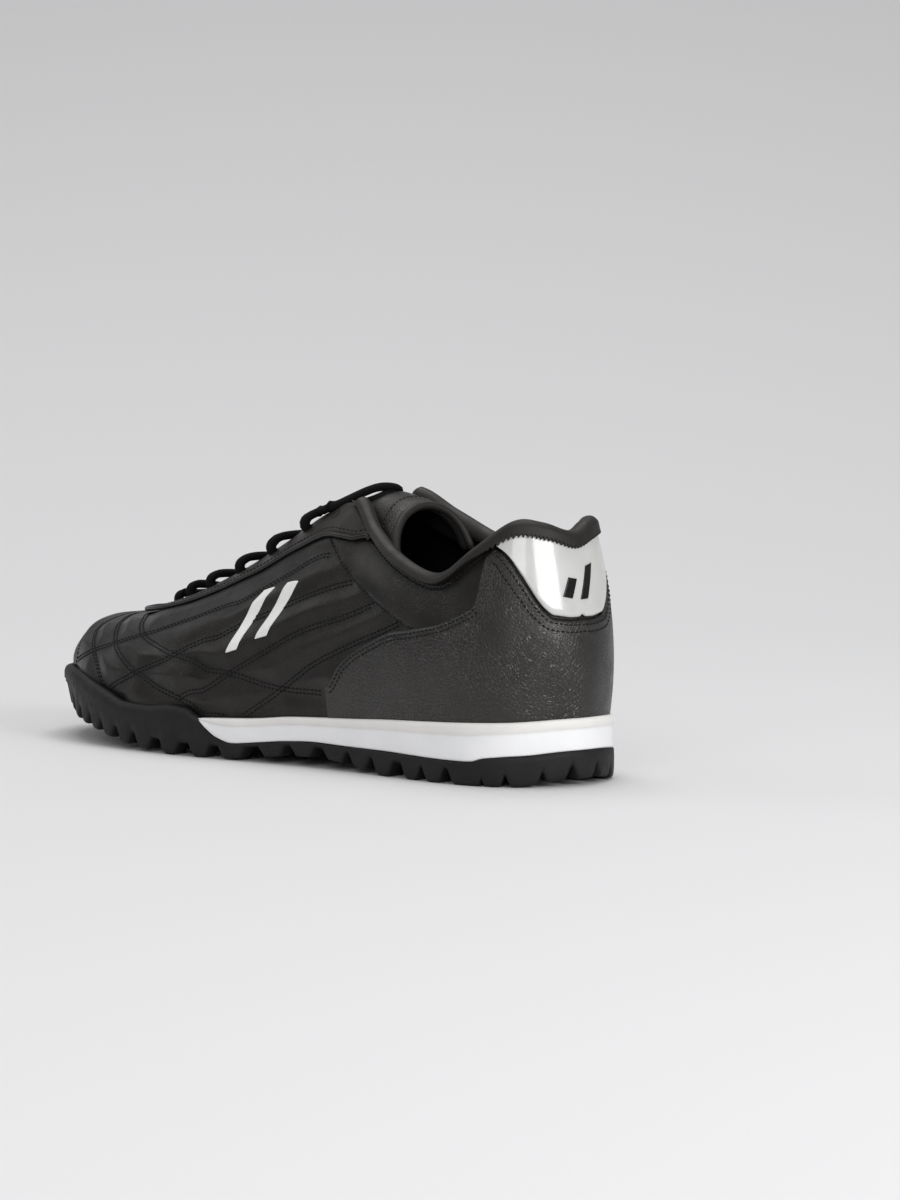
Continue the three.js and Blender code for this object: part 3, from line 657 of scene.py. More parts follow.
# %% [markdown]
# ## Lines of stitching
#
# The leather is quilted: double rows of stitches draw lines on it. The toe lines run from side to
# side over the toe, and the long lines rise from the sole to the ankle seam on each side. They
# could be drawn as curves and projected on the shoe; as short lists of (section, up) they bend
# with it.

# %% Where the lines run
TOE_LINES = [
    # (section, share of the way up) from the outer side to the toe's middle
    [
        (12.90, 0.01), (13.35, 0.05), (13.30, 0.13), (13.45, 0.20), (13.90, 0.29), (14.80, 0.40),
        (16.00, 0.45),
    ],
    [
        (10.90, 0.03), (11.50, 0.05), (11.95, 0.16), (12.40, 0.26), (12.75, 0.34), (13.20, 0.43),
        (13.90, 0.58), (14.80, 0.65), (16.00, 0.66),
    ],
    [
        (8.35, 0.04), (9.35, 0.07), (10.35, 0.18), (10.75, 0.22), (11.40, 0.30), (11.90, 0.40),
        (12.25, 0.47), (12.90, 0.59), (13.60, 0.67), (14.60, 0.74), (16.00, 0.76),
    ],
    [
        (6.40, 0.14), (7.20, 0.14), (8.30, 0.21), (9.40, 0.27), (9.90, 0.32), (10.40, 0.38),
        (10.90, 0.44), (11.25, 0.49), (11.65, 0.56), (12.15, 0.65), (12.80, 0.73), (13.50, 0.79),
        (14.60, 0.84), (16.00, 0.84),
    ],
]
SIDE_LINES = [
    # (section, share of the way up) from the sole to the ankle seam
    [
        (13.15, 0.10), (12.60, 0.17), (12.25, 0.24), (11.65, 0.35), (11.00, 0.46), (10.20, 0.54),
        (9.00, 0.58), (7.80, 0.66), (6.80, 0.76),
    ],
    [
        (11.40, 0.04), (10.60, 0.19), (9.60, 0.30), (8.55, 0.42), (7.05, 0.53), (6.05, 0.74),
    ],
    [
        (9.35, 0.07), (8.30, 0.21), (6.85, 0.39), (6.00, 0.55), (5.40, 0.71),
    ],
    [
        (8.00, 0.04), (7.20, 0.14), (6.60, 0.25), (5.90, 0.39), (5.20, 0.55), (4.75, 0.67),
    ],
]
ANKLE_SEAM = [(4.10, 0.65), (4.70, 0.69), (5.30, 0.73), (5.95, 0.76), (6.70, 0.79), (7.12, 0.83)]
ankle_seam = table_curve(ANKLE_SEAM, 1)


def mirrored(line):
    """The same line on the inner side."""
    return [(ROUND - section, up) for section, up in line]


def quilt_lines():
    over_toe = [line + mirrored(line)[-2::-1] for line in TOE_LINES]
    sides = [one for line in SIDE_LINES for one in (line, mirrored(line))]
    return over_toe + sides


POINTS_A_KNOT = 120
quilt_paths = [spline(line, POINTS_A_KNOT * len(line)) for line in quilt_lines()]
print("quilting lines:", len(quilt_paths))

# %% How far any place is from a line
quilt_points = np.concatenate([skin_point(path[:, 0], path[:, 1]) for path in quilt_paths])
quilt_tree = KDTree(len(quilt_points))
for index, point in enumerate(quilt_points):
    quilt_tree.insert(point, index)
quilt_tree.balance()
print("points on the lines:", len(quilt_points))

# %% [markdown]
# ## Relief of the upper
#
# Foam under the leather pushes it up between the rows, so it dips into a channel at each line and
# puffs up over a few millimetres beside it. The ankle panel behind its seam lies lower and is
# padded, and under the counter the leather is flat. Bump alone wouldn't show at the edge of the
# shoe, so the relief moves the mesh itself.

# %% Depths and where they fade
PUFF = 1.4 * MM
PUFF_REACH = 4.8 * MM
CHANNEL = 1.8 * MM
SEAM_BEFORE, SEAM_BEHIND = 0.004, 0.006
ANKLE_FRONT = (7.1, 7.3)
ANKLE_TOP = 0.97
ANKLE_DEPTH = 0.4 * MM
ANKLE_PADDING = 0.9 * MM
PADDING_BACK = (3.2, 4.4)
PADDING_FRONT = (5.6, 6.8)
UNDER_COUNTER = (3.4, 4.2)
COUNTER_BED = 0.3 * MM


def relief(u, v):
    """How far the outside of the upper stands off the last at u, v: 0 at most."""
    u, v = np.broadcast_arrays(np.asarray(u, float), np.asarray(v, float))
    section = TOE - np.abs(u % ROUND - TOE)
    points = skin_point(u, v).reshape(-1, 3)
    distance = np.array([quilt_tree.find(p)[2] for p in points]).reshape(u.shape)
    puff = 1 - np.exp(-((np.maximum(distance - CHANNEL / 2, 0) / PUFF_REACH) ** 2))
    quilted = PUFF * (puff - 1)
    seam = ankle_seam(section)
    behind = smooth(v, seam - SEAM_BEFORE, seam + SEAM_BEHIND)
    behind = behind * (1 - smooth(section, *ANKLE_FRONT))
    across = np.clip((v - seam) / (ANKLE_TOP - seam), 0, 1)
    padding = ANKLE_PADDING * np.sin(np.pi * across) ** 0.8 * smooth(section, *PADDING_BACK)
    padding = padding * (1 - smooth(section, *PADDING_FRONT))
    panel = padding - ANKLE_DEPTH
    hidden = 1 - smooth(section, *UNDER_COUNTER)
    raised = quilted * (1 - behind) + panel * behind
    return raised * (1 - hidden) - COUNTER_BED * hidden


print("relief half way up at the ball, mm:", round(float(relief(11.0, 0.5)) / MM, 2))

# %% [markdown]
# ## Upper
#
# The upper is one shell: the leather outside, its cut edge round the top, and the lining inside. A
# solidify modifier could thicken one surface, but the lining is smooth where the leather puffs, so
# both sides are laid out and take their own materials by rows.

# %% The shell
COLUMNS_A_SECTION = 24
OUTER_ROWS = 105
LINING_ROWS = 13
TOP_FADE = 0.985


def make_upper():
    u = np.arange(ROUND * COLUMNS_A_SECTION)[:, None] / COLUMNS_A_SECTION
    v = np.linspace(0, 1, OUTER_ROWS)[None, :]
    outside = skin(u, v, relief(u, v) * (1 - smooth(v, TOP_FADE, 1.0)))
    turn = np.linspace(0, np.pi, 5)[None, 1:-1]
    edge = skin(u, np.ones_like(turn), WALL / 2 * (np.cos(turn) - 1) + 0 * u)
    down = np.linspace(1, 0, LINING_ROWS)[None, :]
    lining = skin(u, down, np.full((len(u), LINING_ROWS), -WALL))
    zones = [0] * (OUTER_ROWS + 2) + [1] * LINING_ROWS
    points = np.concatenate([outside, edge, lining], 1)
    return surface("upper_leather", points, (True, True), zones + [1])


upper = finished(make_upper(), "upper_leather", [smooth_leather, lining_cloth], "upper")
print("upper:", len(upper.data.polygons), "faces")

# %% [markdown]
# ## Facing
#
# The facing is the horseshoe of leather round the throat that holds the eyelets, with a thin
# rolled piping along its edge. It is a sheet between two lines on the skin, so it bends with the
# instep by itself; a flat cut-out would have to be shrunk on to the shoe.

# %% Facing and piping
EYESTAY_WIDTH = 18 * MM
EYESTAY_ROWS = [
    # section, share of the width
    (6.1, 0.06), (6.5, 0.46), (6.95, 0.74), (8, 0.95), (9, 1), (13, 1), (14.5, 0.85), (16, 0.72),
]
EYESTAY_BACK = 6.12
FACING_POINTS = 420
PIPING_PAST = 0.05
PIPING_BELOW = 0.3 * MM
PIPING_LIFT = 0.7 * MM
PIPING_RADIUS = 0.95 * MM
eyestay_width = table_curve(EYESTAY_ROWS, 1)


def eyestay_lower(u, extra=0.0):
    section = TOE - np.abs(np.asarray(u) - TOE)
    return below_top(u, EYESTAY_WIDTH * eyestay_width(section) + extra)


def make_eyestay():
    us = np.linspace(EYESTAY_BACK, ROUND - EYESTAY_BACK, FACING_POINTS)
    top = np.ones(len(us))
    return overlay("facing", us, eyestay_lower(us), top, 20, SEAT, SEAT + OVERLAY)


def make_piping():
    us = np.linspace(EYESTAY_BACK - PIPING_PAST, ROUND - EYESTAY_BACK + PIPING_PAST, FACING_POINTS)
    point, normal, _, _ = skin_frame(us, eyestay_lower(us, PIPING_BELOW))
    return tube("facing_piping", point + normal * PIPING_LIFT, PIPING_RADIUS, 10, 1.0, normal)


eyestay = finished(make_eyestay(), "upper_leather", facing_leather, "eyestay")
piping = finished(make_piping(), "upper_leather", edge_leather)
print("facing and piping:", [len(one.data.polygons) for one in (eyestay, piping)], "faces")

# %% [markdown]
# ## Heel counter
#
# The counter is the stiff outer panel that cups the heel. Its upper edge dips round the heel tab,
# passes under the collar and sweeps down to the sole in front, all in one table of (section, up).
# A knife cut through a mesh would leave no such line for the stitches to follow.

# %% The counter
COUNTER_EDGE = [
    (0.00, 0.585), (0.50, 0.575), (0.85, 0.575), (1.10, 0.605), (1.70, 0.765), (2.10, 0.880),
    (2.40, 0.955), (2.52, 0.985), (2.66, 0.985), (2.85, 0.740), (3.00, 0.700), (3.90, 0.710),
    (4.70, 0.620), (5.30, 0.480), (5.90, 0.310), (6.20, 0.190),
]
COUNTER_FRONT = 6.2
COUNTER_FOOT = 0.03
counter_edge = table_curve(COUNTER_EDGE, 1)


def make_counter():
    us = np.linspace(-COUNTER_FRONT, COUNTER_FRONT, 520)
    low = np.full(len(us), COUNTER_FOOT)
    high = counter_edge(np.abs(us))
    return overlay("counter", us, low, high, 64, SEAT - WALL / 2, SEAT + OVERLAY)


counter = finished(make_counter(), "grained_leather", pebbled_leather, "heel_counter")
print("counter:", len(counter.data.polygons), "faces")

# %% [markdown]
# ## Heel tab
#
# A glossy white shield lies in the dip of the counter, with a small notch at its foot. It takes its
# lower edge from the counter's own table plus a clearance, so the two can't part or overlap.

# %% The tab
TAB_CORNER = 2.4
TAB_CLEARANCE = 0.014
TAB_TOP = 0.995
NOTCH_HEIGHT, NOTCH_HALF_WIDTH = 0.012, 0.07
TAB_FACE = SEAT + OVERLAY + 0.2 * MM


def make_tab():
    us = np.linspace(-TAB_CORNER, TAB_CORNER, 180)
    notch = NOTCH_HEIGHT * np.exp(-((us / NOTCH_HALF_WIDTH) ** 2))
    low = counter_edge(np.abs(us)) + TAB_CLEARANCE + notch
    high = np.full(len(us), TAB_TOP)
    return overlay("heel_tab_shield", us, low, high, 48, SEAT, TAB_FACE)


tab = finished(make_tab(), "patent", patent, "heel_tab")
print("tab:", len(tab.data.polygons), "faces")

# %% [markdown]
# ## Printed bars
#
# Two plain slanted bars lie on each side of the shoe, and two more on the heel tab. Thick print has
# a body, so each bar is a thin sheet on the ground under it rather than a colour in the leather.

# %% A bar between four corners
SIDE_BARS = [
    # corners as (section, up): foot back, foot front, head back, head front
    ((8.20, 0.31), (8.40, 0.30), (7.95, 0.60), (8.22, 0.60)),
    ((7.62, 0.36), (7.84, 0.35), (7.28, 0.60), (7.56, 0.60)),
]
TAB_BARS = [
    ((0.34, 0.69), (0.62, 0.69), (0.12, 0.80), (0.40, 0.80)),
    ((-0.22, 0.69), (0.06, 0.69), (-0.60, 0.86), (-0.32, 0.86)),
]
PRINT = 0.5 * MM
TAB_PRINT = 0.35 * MM


def make_bar(name, corners, ground, height):
    """A raised bar between four corners on the skin, following the ground under it."""
    foot_back, foot_front, head_back, head_front = np.array(corners)
    a = np.linspace(0, 1, 14)[:, None, None]
    b = np.linspace(0, 1, 40)[None, :, None]
    foot = foot_back * (1 - a) + foot_front * a
    head = head_back * (1 - a) + head_front * a
    place = foot * (1 - b) + head * b
    u, v = place[..., 0], place[..., 1]
    base = ground(u, v)
    top = np.concatenate([skin(u, v, base + height), skin(u, v, base - PRINT)[::-1]], 0)
    return surface(name, top, (True, False))


# %% The bars
def tab_face(u, v):
    """The heel tab is as thick all over."""
    return np.full(u.shape, TAB_FACE)


for number, corners in enumerate(SIDE_BARS, 1):
    for label, placed in (("outer", corners), ("inner", mirrored(corners))):
        bar = make_bar(f"side_bar_{label}_{number}", placed, relief, PRINT)
        finished(bar, "upper_leather", print_white)
for number, corners in enumerate(TAB_BARS, 1):
    finished(make_bar(f"tab_bar_{number}", corners, tab_face, TAB_PRINT), "patent", print_black)
print("bars:", 2 * len(SIDE_BARS), "on the sides,", len(TAB_BARS), "on the heel tab")

# %% [markdown]
# ## Collar roll
#
# Soft leather filled with foam is rolled over the edge of the opening. Its skirt reaches further
# down over the heel, where the edge is pinked, which means cut in small teeth. A bevelled curve
# would give the roll and not the skirt, so a closed section of both is swept round the edge.

# %% Sizes of the roll
ROLL_HEIGHT = 4.5 * MM
ROLL_DEPTH = 4.8 * MM
ROLL_SKIRT = 0.4 * MM
HEEL_SKIRT = 1.9 * MM
ROLL_FRONT = 7.0
PINKING_PITCH = 0.13
PINKING_DEPTH = 1.3 * MM
HEEL_SKIRT_TO = 3.3
PINKED_TO = 2.75
ROLL_TAPER = 0.12
ROLL_INSIDE = SEAT + OVERLAY + SEAT
ROLL_OUTSIDE = ROLL_INSIDE + OVERLAY
ROLL_PROFILE = [
    # how far out from the skin, how far up from its edge
    (ROLL_OUTSIDE + 0.05 * MM, 0.10 * ROLL_HEIGHT),
    (ROLL_OUTSIDE - 0.05 * MM, 0.45 * ROLL_HEIGHT),
    (0.45 * ROLL_OUTSIDE, 0.90 * ROLL_HEIGHT),
    (-0.25 * ROLL_DEPTH, 1.02 * ROLL_HEIGHT),
    (-0.72 * ROLL_DEPTH, 0.84 * ROLL_HEIGHT),
    (-ROLL_DEPTH, 0.40 * ROLL_HEIGHT),
    (-0.85 * ROLL_DEPTH, -0.6 * MM),
]
SKIRT_PROFILE = [
    # how far out from the skin, share of the way down the skirt
    (ROLL_INSIDE, 0.3),
    (ROLL_INSIDE, 1.0),
    (ROLL_OUTSIDE - 0.15 * MM, 1.0),
    (ROLL_OUTSIDE, 0.8),
    (ROLL_OUTSIDE, 0.3),
]
print("roll over the edge, mm:", ROLL_HEIGHT / MM, "high and", ROLL_DEPTH / MM, "deep")


# %% The roll
def roll_skirt(us):
    heel = smooth(HEEL_SKIRT_TO - np.abs(us), 0, 1)
    teeth = np.abs((np.abs(us) / PINKING_PITCH) % 1 - 0.5) * 2 - 0.5
    pinked = PINKING_DEPTH * teeth * smooth(PINKED_TO - np.abs(us), 0, 0.3)
    return ROLL_SKIRT + (HEEL_SKIRT - ROLL_SKIRT) * heel + pinked


def make_roll():
    us = np.linspace(-ROLL_FRONT, ROLL_FRONT, 1401)
    point, normal, up, _ = skin_frame(us, np.ones(len(us)))
    skirt = roll_skirt(us)
    ends = np.sqrt(np.clip((ROLL_FRONT - np.abs(us)) / ROLL_TAPER, 0.02, 1))
    rounded = spline(ROLL_PROFILE, 22)
    centre = rounded.mean(0)
    rows = []
    for out, rise in rounded:
        out = centre[0] + (out - centre[0]) * ends
        rise = centre[1] + (rise - centre[1]) * ends
        rows.append(point + normal * out[:, None] + up * rise[:, None])
    for out, drop in SKIRT_PROFILE:
        rows.append(point + normal * out - up * (skirt * drop * ends)[:, None])
    return surface("collar_roll_padding", np.stack(rows, 1), (False, True))


roll = finished(make_roll(), "collar", roll_leather, "collar_roll")
print("roll:", len(roll.data.polygons), "faces")

# %% [markdown]
# ## Tongue
#
# The tongue lies in the throat like a gutter and rises to a round arch at the ankle. Each section
# has two legs that follow the inside of the skin and an arch between them, `room` clear of it. It
# could be inflated as cloth, but the laces hold it down, so the arch is drawn by its crown.

# %% Sections of the tongue
TONGUE_THICKNESS = 3 * MM
TONGUE_ROWS = [
    # section, leg, crown, lean, room
    (5.5, 0.020, 0.170, 0.080, 0.050),
    (6.0, 0.020, 0.145, 0.060, 0.051),
    (6.6, 0.030, 0.090, 0.030, 0.052),
    (7.2, 0.060, 0.030, 0.000, 0.036),
    (8.0, 0.090, 0.010, 0.000, 0.046),
    (10.0, 0.110, 0.006, 0.000, 0.046),
    (12.0, 0.110, 0.006, 0.000, 0.042),
    (14.0, 0.090, 0.004, 0.000, 0.030),
]
TONGUE_CURVES = {
    name: table_curve(TONGUE_ROWS, column)
    for column, name in enumerate(("leg", "crown", "lean", "room"), 1)
}
TONGUE_BACK = TONGUE_ROWS[0][0]
LEG_POINTS = 7


def tongue_section(s, depth, steps=30):
    room = TONGUE_CURVES["room"](s) * BALL_WIDTH + depth
    leg = TONGUE_CURVES["leg"](s)
    crown = TONGUE_CURVES["crown"](s) * BALL_WIDTH
    lean = TONGUE_CURVES["lean"](s) * BALL_WIDTH
    down = np.linspace(1, 0, LEG_POINTS)
    place = lambda side: np.full(LEG_POINTS, side * s)
    left = skin(place(1), 1 - leg * down, np.full(LEG_POINTS, -room))
    right = skin(place(-1), 1 - leg * down[::-1], np.full(LEG_POINTS, -room))
    t = np.linspace(0, 1, steps)[1:-1, None]
    arch = np.sqrt(1 - (2 * t - 1) ** 2)
    over = left[-1] * (1 - t) + right[0] * t + arch * np.array([lean, 0, crown])
    return np.concatenate([left, over, right])


def make_tongue():
    rows = []
    steps = len(tongue_section(8.0, 0.0))
    for s in np.linspace(TONGUE_BACK, TONGUE_ROWS[-1][0], 90):
        outer = tongue_section(s, 0.0)
        inner = tongue_section(s, TONGUE_THICKNESS)
        rows.append(np.concatenate([outer, inner[::-1]]))
    zones = [0] * steps + [1] * steps
    return surface("tongue_padding", np.stack(rows), (False, True), zones)


tongue = finished(make_tongue(), "tongue_leather", [smooth_leather, lining_cloth], "tongue")
print("tongue:", len(tongue.data.polygons), "faces")

# %% [markdown]
# ## Edge of the tongue
#
# A strip of leather binds the tongue's edge, and the fuzzy lining shows just inside it. Both are
# swept along the last section of the tongue, so they sit on its edge whatever its form.

# %% Binding and rim
BINDING_RADIUS = 1.7 * MM
RIM_RADIUS = 1.3 * MM
RIM_SINK = 0.6 * MM


def make_binding():
    middle = tongue_section(TONGUE_BACK, TONGUE_THICKNESS / 2, 60)
    ahead = tongue_section(TONGUE_BACK + 0.2, TONGUE_THICKNESS / 2, 60)
    return tube("tongue_binding", middle, BINDING_RADIUS, 12, 1.0, unit(middle - ahead))


def make_tongue_rim():
    """The fuzzy lining that shows inside the bound edge."""
    path = tongue_section(TONGUE_BACK + 0.05, TONGUE_THICKNESS + RIM_SINK, 60)
    return tube("tongue_lining_rim", path, RIM_RADIUS, 10)


binding = finished(make_binding(), "tongue_leather", roll_leather)
rim = finished(make_tongue_rim(), "tongue_leather", lining_cloth)
print("binding and rim:", [len(one.data.polygons) for one in (binding, rim)], "faces")

# %% [markdown]
# ## Laces
#
# A bar fills the first eyelets. From there each lace comes up out of an eyelet, stands off the
# facing in a small loop, crosses the throat and goes in under the facing before the next eyelet.
# A rope simulation would find its own slack; here each run is a smooth path through a few points
# that are measured from the eyelets, so the lace always meets them.

# %% Eyelets and lace
EYELET_COUNT = 7
EYELET_ENDS = (7.3, 12.9)
EYELET_INSET = 6 * MM
EYELETS = np.linspace(*EYELET_ENDS, EYELET_COUNT)
LACE_WIDTH = 5.0 * MM
LACE_SQUEEZE = 0.62
LACE_EDGE = np.array([1.0, 0.0, -0.25])


def eyelet_up(section):
    return below_top(section, EYELET_INSET)[0]


print("eyelets at sections:", np.round(EYELETS, 2))

# %% Up out of an eyelet, and in under the facing
LOOP_RISE = 3.1 * MM
LACE_SUNK = 0.8 * MM
LACE_OUT = [
    # sections towards the heel, share of the way to the edge, share of the rise
    (0.0, 0.0, 0.5),
    (0.06, 0.30, 1.0),
    (0.16, 0.85, 0.62),
]
LACE_IN = [
    # share of the way over the throat, how far below the edge
    (0.20, 0.4 * MM),
    (0.07, 1.2 * MM),
    (0.01, 1.8 * MM),
]


def lace_out(section, side, rise=LOOP_RISE):
    """Up out of an eyelet and over the edge of the facing, leaning towards the heel."""
    v = eyelet_up(section)
    base = SEAT + OVERLAY
    return [skin(side * section, v, -LACE_SUNK)] + [
        skin(side * (section - heelward), v + (1 - v) * share, base + part * rise)
        for heelward, share, part in LACE_OUT
    ]


def lace_in(section, side):
    """Just inside the edge of the throat, and on under the facing."""
    edge, far = skin_point(side * section, 1.0), skin_point(-side * section, 1.0)
    return [
        edge * (1 - share) + far * share - np.array([0, 0, sink]) for share, sink in LACE_IN
    ]


def over_throat(section, rise):
    edges = skin_point(section, 1.0) + skin_point(-section, 1.0)
    return edges / 2 + np.array([0, 0, rise])


# %% The runs
BAR_LOOP = 2.6 * MM
BAR_RISE = 3.0 * MM
BEFORE_EYELET = 0.3
TOP_RISE = 5.5 * MM
RUNS = [
    # side, its label, height of its crossing over the throat's edges
    (1, "outer", -0.2 * MM),
    (-1, "inner", -2.4 * MM),
]


def lace_piece(name, points, solid):
    path = spline(points, 60)
    face = np.cross(unit(np.gradient(path, axis=0)), LACE_EDGE)
    strip = tube(name, path, LACE_WIDTH / 2, 14, LACE_SQUEEZE, unit(face))
    return finished(strip, "lace", lace_cloth, solid)


def over_tongue(start, near, far, over):
    """The top pair climbs over the arch of the tongue."""
    return [
        start * 0.35 + near * 0.65 + np.array([0, 0, 1.0 * MM]),
        near * 0.66 + far * 0.34 + np.array([-5 * MM, 0, TOP_RISE + over]),
        near * 0.30 + far * 0.70 + np.array([-6 * MM, 0, TOP_RISE * 0.7 + over]),
    ]


def make_laces():
    first = EYELETS[-1]
    ends = [lace_out(first, 1, BAR_LOOP), lace_out(first, -1, BAR_LOOP)[::-1]]
    middle = over_throat(first, BAR_RISE)
    lace_piece("lace_bar_cloth", [*ends[0], middle, *ends[1]], "lace_bar")
    for step in range(1, EYELET_COUNT):
        front, back = EYELETS[EYELET_COUNT - step], EYELETS[EYELET_COUNT - step - 1]
        for side, label, over in RUNS:
            start = lace_out(front, side)
            if step == 1:
                start = lace_in(front - BEFORE_EYELET, side)[::-1]
            middle = [over_throat((front + back) / 2, over)]
            if step == EYELET_COUNT - 1:
                near, far = skin_point(side * back, 1.0), skin_point(-side * back, 1.0)
                middle = over_tongue(start[-1], near, far, over)
            end = lace_in(back + BEFORE_EYELET, -side)
            name = f"lace_cross_{step}"
            lace_piece(f"{name}_{label}", [*start, *middle, *end], name)


make_laces()
print("lace: a bar and", 2 * (EYELET_COUNT - 1), "runs")

# %% [markdown]
# ## Punched eyelets
#
# The eyelets are plain punched holes without a metal ring, and the lace fills most of each. A dark
# disc in a thin turned edge shows what is left; its near-black is partly the black lace seen through
# the hole and partly painted shade of the hole's depth. A real hole through the sheet would need a
# boolean at every eyelet for the same look.

# %% The holes
EYELET_RINGS = [
    # radius, how far it sinks below the facing
    (2.15 * MM, 0.25 * MM),
    (2.0 * MM, -0.08 * MM),
    (1.7 * MM, -0.05 * MM),
    (1.6 * MM, 0.25 * MM),
    (0.8 * MM, 0.3 * MM),
]


def make_eyelet(name, section, side):
    """A punched hole: a dark disc in a thin turned edge; its black is lace plus painted shade."""
    point, normal, up, along = skin_frame(side * section, eyelet_up(section))
    centre = point + normal * (SEAT + OVERLAY + 0.05 * MM)
    turn = np.linspace(0, 2 * np.pi, 24, endpoint=False)[:, None]
    spoke = np.cos(turn) * along + np.sin(turn) * up
    rows = [centre + spoke * radius - normal * sink for radius, sink in EYELET_RINGS]
    return surface(name, np.stack(rows, 1), (True, False))


for number, section in enumerate(EYELETS, 1):
    for side, label in ((1, "outer"), (-1, "inner")):
        hole = make_eyelet(f"eyelet_{label}_{number}", section, side)
        finished(hole, "upper_leather", hole_lace_and_painted_shade)
print("eyelets:", 2 * EYELET_COUNT)

# %% [markdown]
# ## Outsole
#
# The outsole is one moulding of black rubber. Its edge is a row of studs with round valleys between
# them, and at the toe it climbs the upper as a wall with a groove. A stud could be a block joined
# to the sole, but moulded studs grow out of the wall without a seam. So the sole is a ring of
# profiles round the outline, and each profile reaches down as far as the studs say at its place.

# %% Where the edge studs stand
EDGE_STUDS = [
    # section, width of the tip in mm; the same on both sides
    (0.00, 7.0), (0.83, 7.0), (1.64, 10.0), (2.39, 6.0), (3.01, 11.0), (3.81, 6.0), (4.33, 5.5),
    (4.98, 6.0), (5.50, 6.0), (6.04, 7.0), (6.71, 7.0), (7.33, 7.5), (8.11, 8.0), (8.76, 5.5),
    (9.42, 5.0), (10.06, 5.0), (10.56, 4.5), (11.06, 4.5), (11.52, 4.0), (11.96, 3.5), (12.45, 3.5),
    (13.00, 4.0), (13.55, 4.0), (14.10, 4.0), (14.70, 4.0), (15.35, 4.0), (16.00, 4.0),
]
STUD_FLARE = 3.1 * MM
STUD_ROUNDING = 0.8 * MM


def stud_share(us):
    """How much of a stud stands at each place along the edge: 1 on a tip, 0 between two."""
    loop = np.append(us, ROUND)
    place, _ = outline(loop)
    steps = np.linalg.norm(np.diff(place, axis=0), axis=1)
    walked = np.concatenate([[0], np.cumsum(steps)])
    share = np.zeros(len(us))
    for section, tip in EDGE_STUDS:
        half = tip * MM / 2
        for u in {section, (ROUND - section) % ROUND}:
            away = np.abs(walked[:-1] - np.interp(u, loop, walked))
            away = np.minimum(away, walked[-1] - away)
            flank = 1 - smooth(away, half - STUD_ROUNDING, half + STUD_FLARE)
            share = np.maximum(share, flank)
    return share


print("edge studs:", 2 * len(EDGE_STUDS) - 2)

# %% Lines that the sole's pieces share
JOG_AT = 0.088
JOG = 0.9 * MM
JOG_RISE = (JOG_AT - 0.012, JOG_AT + 0.004)
JOG_FADE = (0.10, 0.26)


def wedge_low(x):
    """Underside of the white wedge, with the small step near the heel."""
    step = JOG * (smooth(x / LENGTH, *JOG_RISE) - smooth(x / LENGTH, *JOG_FADE))
    return sole_height("wedge", x) - step


def rim_height(x):
    return sole_height("rim", x)


def plate_height(x):
    return sole_height("plate", x)


def black_top(x):
    wedge = np.minimum(wedge_low(x), rim_height(x)) - GAP
    return np.where(x < WEDGE_TIP * LENGTH, wedge, rim_height(x))


def floor_height(x):
    return rim_height(x) - SOLE_TUCK - GAP


def sole_ring(name, us, profile):
    """Profile rows (inset, height) from the middle of one face, round the edge, to the other.

    An inset of None is the middle line; a height is a value for each u or a function of x.
    """
    rows = []
    for inset, height in profile:
        if inset is None:
            at = section_at(us)[:, 0]
            place = np.stack([at, 0 * at], 1)
        else:
            place, _ = outline(us, np.broadcast_to(inset, us.shape))
        level = height(place[:, 0]) if callable(height) else height
        rows.append(np.concatenate([place, level[:, None]], 1))
    return surface(name, np.stack(rows, 1), (True, False))


# %% The ring of profiles
TOE_UNDERCUT = 3 * MM
STUD_DEPTH = 8 * MM
TOE_GROOVE = 1.1 * MM
UNDERCUT_FROM = (12.0, 13.2)
GROOVE_FROM = (12.6, 13.4)
VALLEY_SHARE = 0.1
EDGE_UNDER_WEDGE = 0.2
UNDER_FLOOR = 0.4 * MM


def make_outsole():
    us = np.arange(0, ROUND, 0.02)
    section = TOE - np.abs(us - TOE)
    share = stud_share(us)
    x = outline(us)[0][:, 0]
    plate, tip, top = plate_height(x), sole_height("tip", x), black_top(x)
    valley = plate + VALLEY_SHARE * (plate - tip)
    low = valley + (tip - valley) * share
    toe = TOE_UNDERCUT * smooth(section, *UNDERCUT_FROM)
    groove = TOE_GROOVE * smooth(section, *GROOVE_FROM)
    edge = np.where(x < WEDGE_TIP * LENGTH, EDGE_UNDER_WEDGE, 1.0)
    inner_top = lambda x: np.minimum(black_top(x), floor_height(x) - UNDER_FLOOR)
    stud = lambda power: plate + (tip - plate) * share**power
    rise = lambda most, part: low + np.minimum(most, part * (top - low))
    drop = lambda most, part: top - np.minimum(most, part * (top - low))
    return sole_ring("outsole_rubber", us, [
        (None, plate_height),
        (STUD_DEPTH + 2.5 * MM + toe, plate),
        (STUD_DEPTH + 0.6 * MM + toe, (plate + stud(2)) / 2),
        (STUD_DEPTH - 1.0 * MM + toe, stud(1.6)),
        (STUD_DEPTH - 3.5 * MM + toe, stud(1.2)),
        (1.7 * MM + toe, low),
        (0.8 * MM + toe, rise(0.25 * MM, 0.06)),
        (0.35 * MM + 0.95 * toe, rise(0.9 * MM, 0.20)),
        (0.15 * MM + 0.80 * toe, rise(1.8 * MM, 0.36)),
        (0.35 * toe, drop(7.0 * MM, 0.60)),
        (0.15 * toe, drop(6.1 * MM, 0.56)),
        (groove + 0.1 * toe, drop(5.4 * MM, 0.52)),
        (0.0, drop(4.7 * MM, 0.48)),
        (0.0, drop(2.4 * MM, 0.40)),
        (0.5 * MM * edge, drop(1.0 * MM * edge, 0.25)),
        (1.4 * MM * edge, drop(0.3 * MM * edge, 0.10)),
        (2.6 * MM, top),
        (SOLE_LIP + 0.5 * MM, top),
        (SOLE_LIP + 0.8 * MM, inner_top(x)),
        (None, inner_top),
    ])


outsole = finished(make_outsole(), "outsole_rubber", rubber, "outsole")
print("outsole:", len(outsole.data.polygons), "faces")

